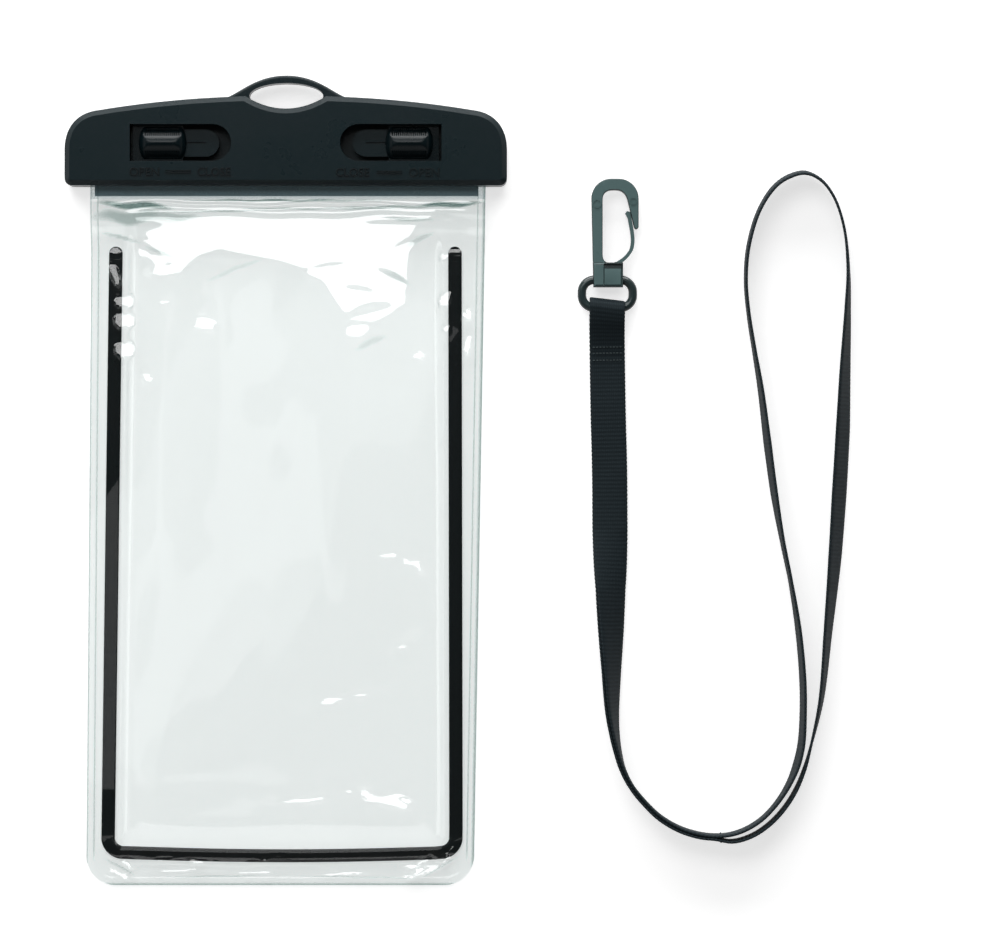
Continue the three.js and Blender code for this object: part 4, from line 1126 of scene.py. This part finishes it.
def make_ring(settings):
    around, section = 112, 24
    theta = (np.arange(around) + 0.5) / around * 2 * math.pi
    phi = np.arange(section) / section * 2 * math.pi
    straight_x = RING["half"] - RING["corner"]
    straight_y = (RING["top_y"] - RING["foot_y"]) / 2 - RING["corner"]
    reach = RING["corner"] + RING["wire"] / 2 * np.cos(phi)[None, :]
    x = reach * np.cos(theta)[:, None] + np.sign(np.cos(theta))[:, None] * straight_x + RING["x"]
    y = reach * np.sin(theta)[:, None] + np.sign(np.sin(theta))[:, None] * straight_y
    y = y + (RING["top_y"] + RING["foot_y"]) / 2
    z = np.broadcast_to(RING["z"] + RING["wire"] / 2 * np.sin(phi)[None, :], x.shape)
    faces = []
    for i in range(around):
        for k in range(section):
            j, n = (i + 1) % around, (k + 1) % section
            faces.append([i * section + k, j * section + k, j * section + n, i * section + n])
    mesh = mesh_of("strap_ring_wire", np.stack([x, y, z], -1).reshape(-1, 3), faces, 80)
    dress("strap_ring_wire", mesh, "ring", moulded(settings, "Ring Plastic"), ("strap_ring",))


def hook_mesh(name):
    """The hook with a crowned face, a straight outer edge down its neck, and the neck's seam and hollow."""
    shape = cleaned("snap_hook")
    top_z = max(vert.co.z for vert in shape.verts)
    face = [f for f in shape.faces if f.normal.z > 0.99 and top_z - f.calc_center_median().z < NEAR * MM]
    bmesh.ops.inset_region(
        shape, faces=face, thickness=HOOK["inset"] * MM, depth=HOOK["crown"] * MM, use_even_offset=True,
    )
    top_z += HOOK["crown"] * MM
    for x in HOOK_SEAM:
        cut_across(shape, 0, x)
    for y in HOOK_HOLLOW:
        cut_across(shape, 1, y)
    spine_x, spine_y = HOOK_SPINE["top"]
    foot_x, foot_y = HOOK_SPINE["foot"]
    for vert in shape.verts:
        x, y = vert.co.x / MM, vert.co.y / MM
        on_top = top_z - vert.co.z < NEAR * MM
        if on_top and HOOK_SEAM[0] + NEAR < x < HOOK_SEAM[3] - NEAR and y < HOOK["seam_top"]:
            vert.co.z -= HOOK["seam_deep"] * MM
        elif on_top and x > HOOK_SEAM[3] - NEAR and HOOK_HOLLOW[0] + NEAR < y < HOOK["hollow_top"]:
            vert.co.z -= HOOK["hollow_deep"] * MM
        if x < HOOK_SPINE["reach_x"] and y < spine_y:
            straight = spine_x + (foot_x - spine_x) * (spine_y - y) / (spine_y - foot_y)
            vert.co.x += (straight - (foot_x if y < HOOK_SPINE["step_y"] else spine_x)) * MM
    broken_edges(shape, HOOK["round"])
    return mesh_of(name, *taken_from(shape))


def hook_marks():
    """Two raised round lines on the hook's face, as a bmesh."""
    marks = bmesh.new()
    sides = MARK_LINE["sides"]
    for x, y, radius in MARKS:
        rings = []
        for size in (radius, radius - MARK_LINE["wide"]):
            made = bmesh.ops.create_circle(marks, cap_ends=False, radius=size * MM, segments=sides)
            rings.append(made["verts"])
        outer, inner = rings
        for vert in outer + inner:
            vert.co += Vector((x, y, MARK_LINE["z"] + HOOK["crown"])) * MM
        walls = []
        for i in range(sides):
            j = (i + 1) % sides
            walls.append(marks.faces.new((outer[i], outer[j], inner[j], inner[i])))
        grown = bmesh.ops.extrude_face_region(marks, geom=walls)["geom"]
        for vert in (item for item in grown if isinstance(item, bmesh.types.BMVert)):
            vert.co.z -= MARK_LINE["deep"] * MM
    bmesh.ops.recalc_face_normals(marks, faces=marks.faces)
    return marks


def make_hook(settings):
    plastic = moulded(settings, "Hook Plastic")
    body = dress("hook_body", hook_mesh("hook_body"), "hook", plastic, ("snap_hook",))
    blade_mesh = rounded_copy("gate_blade", "hook_gate", 0.14)
    blade = dress("gate_blade", blade_mesh, "gate", plastic, ("hook_gate",))
    for piece in (body, blade):
        # The sides, underside and neck hollow get the darker plastic as painted shade
        paint_shaded_sides(piece, moulded(settings, "Hook Side Plastic"))
        even_out_normals(piece)
    for vert in blade.data.vertices:
        vert.co.x += np.interp(vert.co.y / MM, *GATE_SHIFT) * MM
    ends = [np.column_stack([BARB, np.full(len(BARB), z)]) for z in BARB_Z]
    barb = mesh_of("gate_barb", *swept(np.array(ends)[:, ::-1]))
    dress("gate_barb", barb, "gate", plastic)
    dress("hook_marks", mesh_of("hook_marks", *taken_from(hook_marks())), "hook", plastic)


# Stage


def softbox(name, centre, size, aim, radiance, roll=0.0):
    """A rectangular lamp of an even brightness, aimed at a point and rolled by some degrees."""
    data = bpy.data.lights.new(name, "AREA")
    data.shape = "RECTANGLE"
    data.size, data.size_y = size
    data.energy = radiance * math.pi * size[0] * size[1]
    lamp = bpy.data.objects.new(name, data)
    lamp.location = centre
    facing = (Vector(centre) - Vector(aim)).to_track_quat("Z", "Y")
    lamp.rotation_euler = (facing @ Quaternion((0, 0, 1), math.radians(roll))).to_euler()
    lamp.visible_camera = False
    bpy.context.scene.collection.objects.link(lamp)


def seen_directly(tree):
    """One where a ray comes from the camera, a reflection or a transmission, or else nought."""
    path = tree.nodes.new("ShaderNodeLightPath")
    first = math_node(tree, "MAXIMUM")
    both = math_node(tree, "MAXIMUM")
    join(tree, path, "Is Camera Ray", first, 0, path, "Is Glossy Ray", first, 1,
         first, 0, both, 0, path, "Is Transmission Ray", both, 1)
    return both


def make_floor(settings):
    mesh = bpy.data.meshes.new("floor")
    corners = [(x * FLOOR_HALF, y * FLOOR_HALF, FLOOR_Z) for x, y in ((-1, -1), (1, -1), (1, 1), (-1, 1))]
    mesh.from_pydata(corners, [], [(0, 1, 2, 3)])
    material, tree, end = new_material("Pale Floor")
    matte = place(tree, "ShaderNodeBsdfDiffuse", None, Color=(*settings.floor_colour, 1))
    glow = place(tree, "ShaderNodeEmission", None, Color=(1, 1, 1, 1))
    strength = math_node(tree, "MULTIPLY", settings.floor_glow)
    both = place(tree, "ShaderNodeAddShader")
    join(tree, seen_directly(tree), 0, strength, 0, strength, 0, glow, "Strength",
         matte, 0, both, 0, glow, 0, both, 1, both, 0, end, "Surface")
    mesh.materials.append(material)
    floor = bpy.data.objects.new("floor", mesh)
    bpy.context.scene.collection.objects.link(floor)


def make_world(settings):
    """A pale studio: bright at the horizon, dim overhead, and white to the camera."""
    world = bpy.data.worlds.new("Studio")
    bpy.context.scene.world = world
    world.use_nodes = True
    tree = world.node_tree
    tree.nodes.clear()
    end = tree.nodes.new("ShaderNodeOutputWorld")
    back = tree.nodes.new("ShaderNodeBackground")
    where = tree.nodes.new("ShaderNodeTexCoord")
    split = tree.nodes.new("ShaderNodeSeparateXYZ")
    height = place(tree, "ShaderNodeMapRange", {"interpolation_type": "SMOOTHSTEP"},
                   From_Min=0.1, From_Max=0.85, To_Min=settings.horizon, To_Max=settings.overhead)
    path = tree.nodes.new("ShaderNodeLightPath")
    strength = math_node(tree, "MAXIMUM")
    join(tree, where, "Generated", split, 0, split, "Z", height, "Value", height, "Result", strength, 0,
         path, "Is Camera Ray", strength, 1, strength, 0, back, "Strength", back, 0, end, "Surface")


def make_stage(settings):
    scene = bpy.context.scene
    scene.view_settings.view_transform = "Standard"
    camera_data = bpy.data.cameras.new("camera")
    camera = bpy.data.objects.new("camera", camera_data)
    scene.collection.objects.link(camera)
    scene.camera = camera
    camera.location = CAMERA
    camera_data.sensor_width = SENSOR
    camera_data.lens = SENSOR * (CAMERA[2] - VIEW_Z) / VIEW_WIDTH
    camera_data.clip_end = 20.0
    make_floor(settings)
    make_world(settings)
    softbox("key_softbox", KEY_CENTRE, KEY_SIZE, (KEY_CENTRE[0], KEY_CENTRE[1], 0.0), settings.key)
    softbox("back_softbox", (-0.05, 1.25, 0.4), (1.8, 0.7), (0.03, 0.05, 0.0), settings.back)
    softbox("fill_softbox", (-0.1, -0.85, 0.75), (1.2, 0.35), (0.03, 0.0, 0.0), settings.fill)
    softbox("left_softbox", (-0.95, 0.1, 0.6), (0.9, 0.3), (0.0, 0.0, 0.0), settings.fill)
    softbox("veil_panel", (-0.09, -0.02, 1.25), (0.1, 0.3), (-0.09, -0.02, 0.0), settings.veil, -35.0)


# Add-on


def colour_property(title, what, default):
    return bpy.props.FloatVectorProperty(
        name=title, description=what, subtype="COLOR", size=3, min=0.0, max=1.0, default=default,
    )


def length_property(title, what, default):
    return bpy.props.FloatProperty(name=title, description=what, unit="LENGTH", default=default, precision=5)


def level_property(title, what, default, most=10.0):
    return bpy.props.FloatProperty(name=title, description=what, min=0.0, max=most, default=default)


class PouchSettings(bpy.types.PropertyGroup):
    """Sizes, colours and light levels of the dressed pouch."""

    film_thickness: length_property("Film Thickness", "Thickness of each clear sheet", 0.0003)
    edge_radius: length_property("Edge Radius", "Rounding of the moulded edges", 0.00026)
    rib_pitch: length_property("Rib Pitch", "Distance between the webbing's ribs", 0.0011)
    yarn_pitch: length_property("Yarn Pitch", "Distance between the webbing's lengthwise yarns", 0.0005)
    wrinkles: level_property("Wrinkles", "How strongly the front film is creased", 1.0, 1.5)
    film_roughness: level_property("Film Roughness", "How soft the film's reflections are", 0.0, 1.0)
    film_mirror: level_property("Film Mirror", "Share of the light that it reflects square on", 0.056, 1.0)
    film_tint: colour_property("Film Tint", "Light that passes each film surface", (0.988, 0.998, 0.996))
    # Film Shade is the colour of the film's painted shade and painted reflections
    film_painted_shade: colour_property("Film Shade", "Light that passes where it looks dark", (0.42, 0.52, 0.5))
    rail_colour: colour_property("Closure Colour", "Plastic of the two rails", (0.003, 0.0102, 0.013))
    seal_colour: colour_property("Seal Colour", "Rubber of the closure's seal", (0.03, 0.034, 0.034))
    letter_colour: colour_property("Letter Colour", "Raised words and bars", (0.0008, 0.003, 0.004))
    latch_colour: colour_property("Latch Colour", "Plastic of the sliding latches", (0.0018, 0.0056, 0.0072))
    hook_colour: colour_property("Hook Colour", "Plastic of the snap hook", (0.079, 0.13, 0.13))
    # Darker copy of the hook's plastic, painted on its sides and hollow as painted shade
    hook_painted_shade_colour: colour_property("Hook Side Colour", "Sides of the snap hook", (0.008, 0.015, 0.016))
    ring_colour: colour_property("Ring Colour", "Plastic of the strap's ring", (0.019, 0.032, 0.033))
    strip_colour: colour_property("Strip Colour", "Black strip round the window", (0.001, 0.004, 0.005))
    webbing_colour: colour_property("Webbing Colour", "Yarn of the neck strap", (0.0065, 0.0115, 0.0145))
    # Rib crests are painted lighter than the webbing: a painted highlight
    rib_crest_highlight_colour: colour_property("Rib Colour", "Crests of the webbing's ribs", (0.018, 0.028, 0.033))
    thread_colour: colour_property("Thread Colour", "Thread of the strap's seams", (0.045, 0.06, 0.064))
    floor_colour: colour_property("Floor Colour", "Matte colour of the floor", (0.68, 0.68, 0.68))
    floor_glow: level_property("Floor Glow", "White that is seen on top of the floor's own colour", 0.66)
    horizon: level_property("Horizon", "Brightness of the studio at table height", 0.4)
    overhead: level_property("Overhead", "Brightness of the studio straight overhead", 0.06)
    key: level_property("Key Light", "Brightness of the main softbox", 3.3, 100.0)
    back: level_property("Back Light", "Brightness of the low rear softbox", 7.5, 100.0)
    fill: level_property("Fill Light", "Brightness of the two fills", 0.6, 100.0)
    veil: level_property("Veil Light", "Brightness of the dim overhead panel", 0.3, 100.0)


class POUCH_OT_stage(bpy.types.Operator):
    """Add the camera, the floor, the studio and its lamps"""

    bl_idname = "pouch.stage"
    bl_label = "Stage"

    def execute(self, context):
        make_stage(context.scene.pouch_settings)
        return {"FINISHED"}


class POUCH_OT_strap(bpy.types.Operator):
    """Lay the ribbed neck strap with its stitches"""

    bl_idname = "pouch.strap"
    bl_label = "Neck Strap"

    def execute(self, context):
        make_strap(context.scene.pouch_settings)
        return {"FINISHED"}


class POUCH_OT_hook(bpy.types.Operator):
    """Finish the ring, the snap hook and its gate"""

    bl_idname = "pouch.hook"
    bl_label = "Ring and Hook"

    def execute(self, context):
        make_ring(context.scene.pouch_settings)
        make_hook(context.scene.pouch_settings)
        return {"FINISHED"}


class POUCH_OT_rails(bpy.types.Operator):
    """Finish the two rails and the seal of the closure"""

    bl_idname = "pouch.rails"
    bl_label = "Closure Rails"

    def execute(self, context):
        make_rails(context.scene.pouch_settings)
        return {"FINISHED"}


class POUCH_OT_latches(bpy.types.Operator):
    """Make the two sliding latches with their ribbed grips"""

    bl_idname = "pouch.latches"
    bl_label = "Latches"

    def execute(self, context):
        make_latches(context.scene.pouch_settings)
        return {"FINISHED"}


class POUCH_OT_lettering(bpy.types.Operator):
    """Raise the words and bars under the latches"""

    bl_idname = "pouch.lettering"
    bl_label = "Latch Words"

    def execute(self, context):
        make_lettering(context.scene.pouch_settings)
        return {"FINISHED"}


class POUCH_OT_films(bpy.types.Operator):
    """Make the two clear films of the pocket"""

    bl_idname = "pouch.films"
    bl_label = "Clear Films"

    def execute(self, context):
        make_rear_film(context.scene.pouch_settings)
        make_front_film(context.scene.pouch_settings)
        return {"FINISHED"}


class POUCH_OT_strip(bpy.types.Operator):
    """Make the black strip round the window"""

    bl_idname = "pouch.strip"
    bl_label = "Window Strip"

    def execute(self, context):
        make_strip(context.scene.pouch_settings)
        return {"FINISHED"}


OPERATORS = (
    POUCH_OT_stage, POUCH_OT_strap, POUCH_OT_hook, POUCH_OT_rails, POUCH_OT_latches, POUCH_OT_lettering,
    POUCH_OT_films, POUCH_OT_strip,
)


class POUCH_PT_sidebar(bpy.types.Panel):
    """Sizes, colours and pieces of the pouch"""

    bl_idname = "POUCH_PT_sidebar"
    bl_label = "Phone Pouch"
    bl_space_type = "VIEW_3D"
    bl_region_type = "UI"
    bl_category = "Pouch"

    def draw(self, context):
        settings = context.scene.pouch_settings
        for name in PouchSettings.__annotations__:
            self.layout.prop(settings, name)
        for kind in OPERATORS:
            self.layout.operator(kind.bl_idname)


CLASSES = (PouchSettings, *OPERATORS, POUCH_PT_sidebar)


def register():
    for kind in CLASSES:
        bpy.utils.register_class(kind)
    bpy.types.Scene.pouch_settings = bpy.props.PointerProperty(type=PouchSettings)


def unregister():
    del bpy.types.Scene.pouch_settings
    for kind in reversed(CLASSES):
        bpy.utils.unregister_class(kind)


def main():
    register()
    bpy.ops.pouch.stage()
    bpy.ops.pouch.strap()
    bpy.ops.pouch.hook()
    bpy.ops.pouch.rails()
    bpy.ops.pouch.latches()
    bpy.ops.pouch.lettering()
    bpy.ops.pouch.films()
    bpy.ops.pouch.strip()


if __name__ == "__main__":
    main()
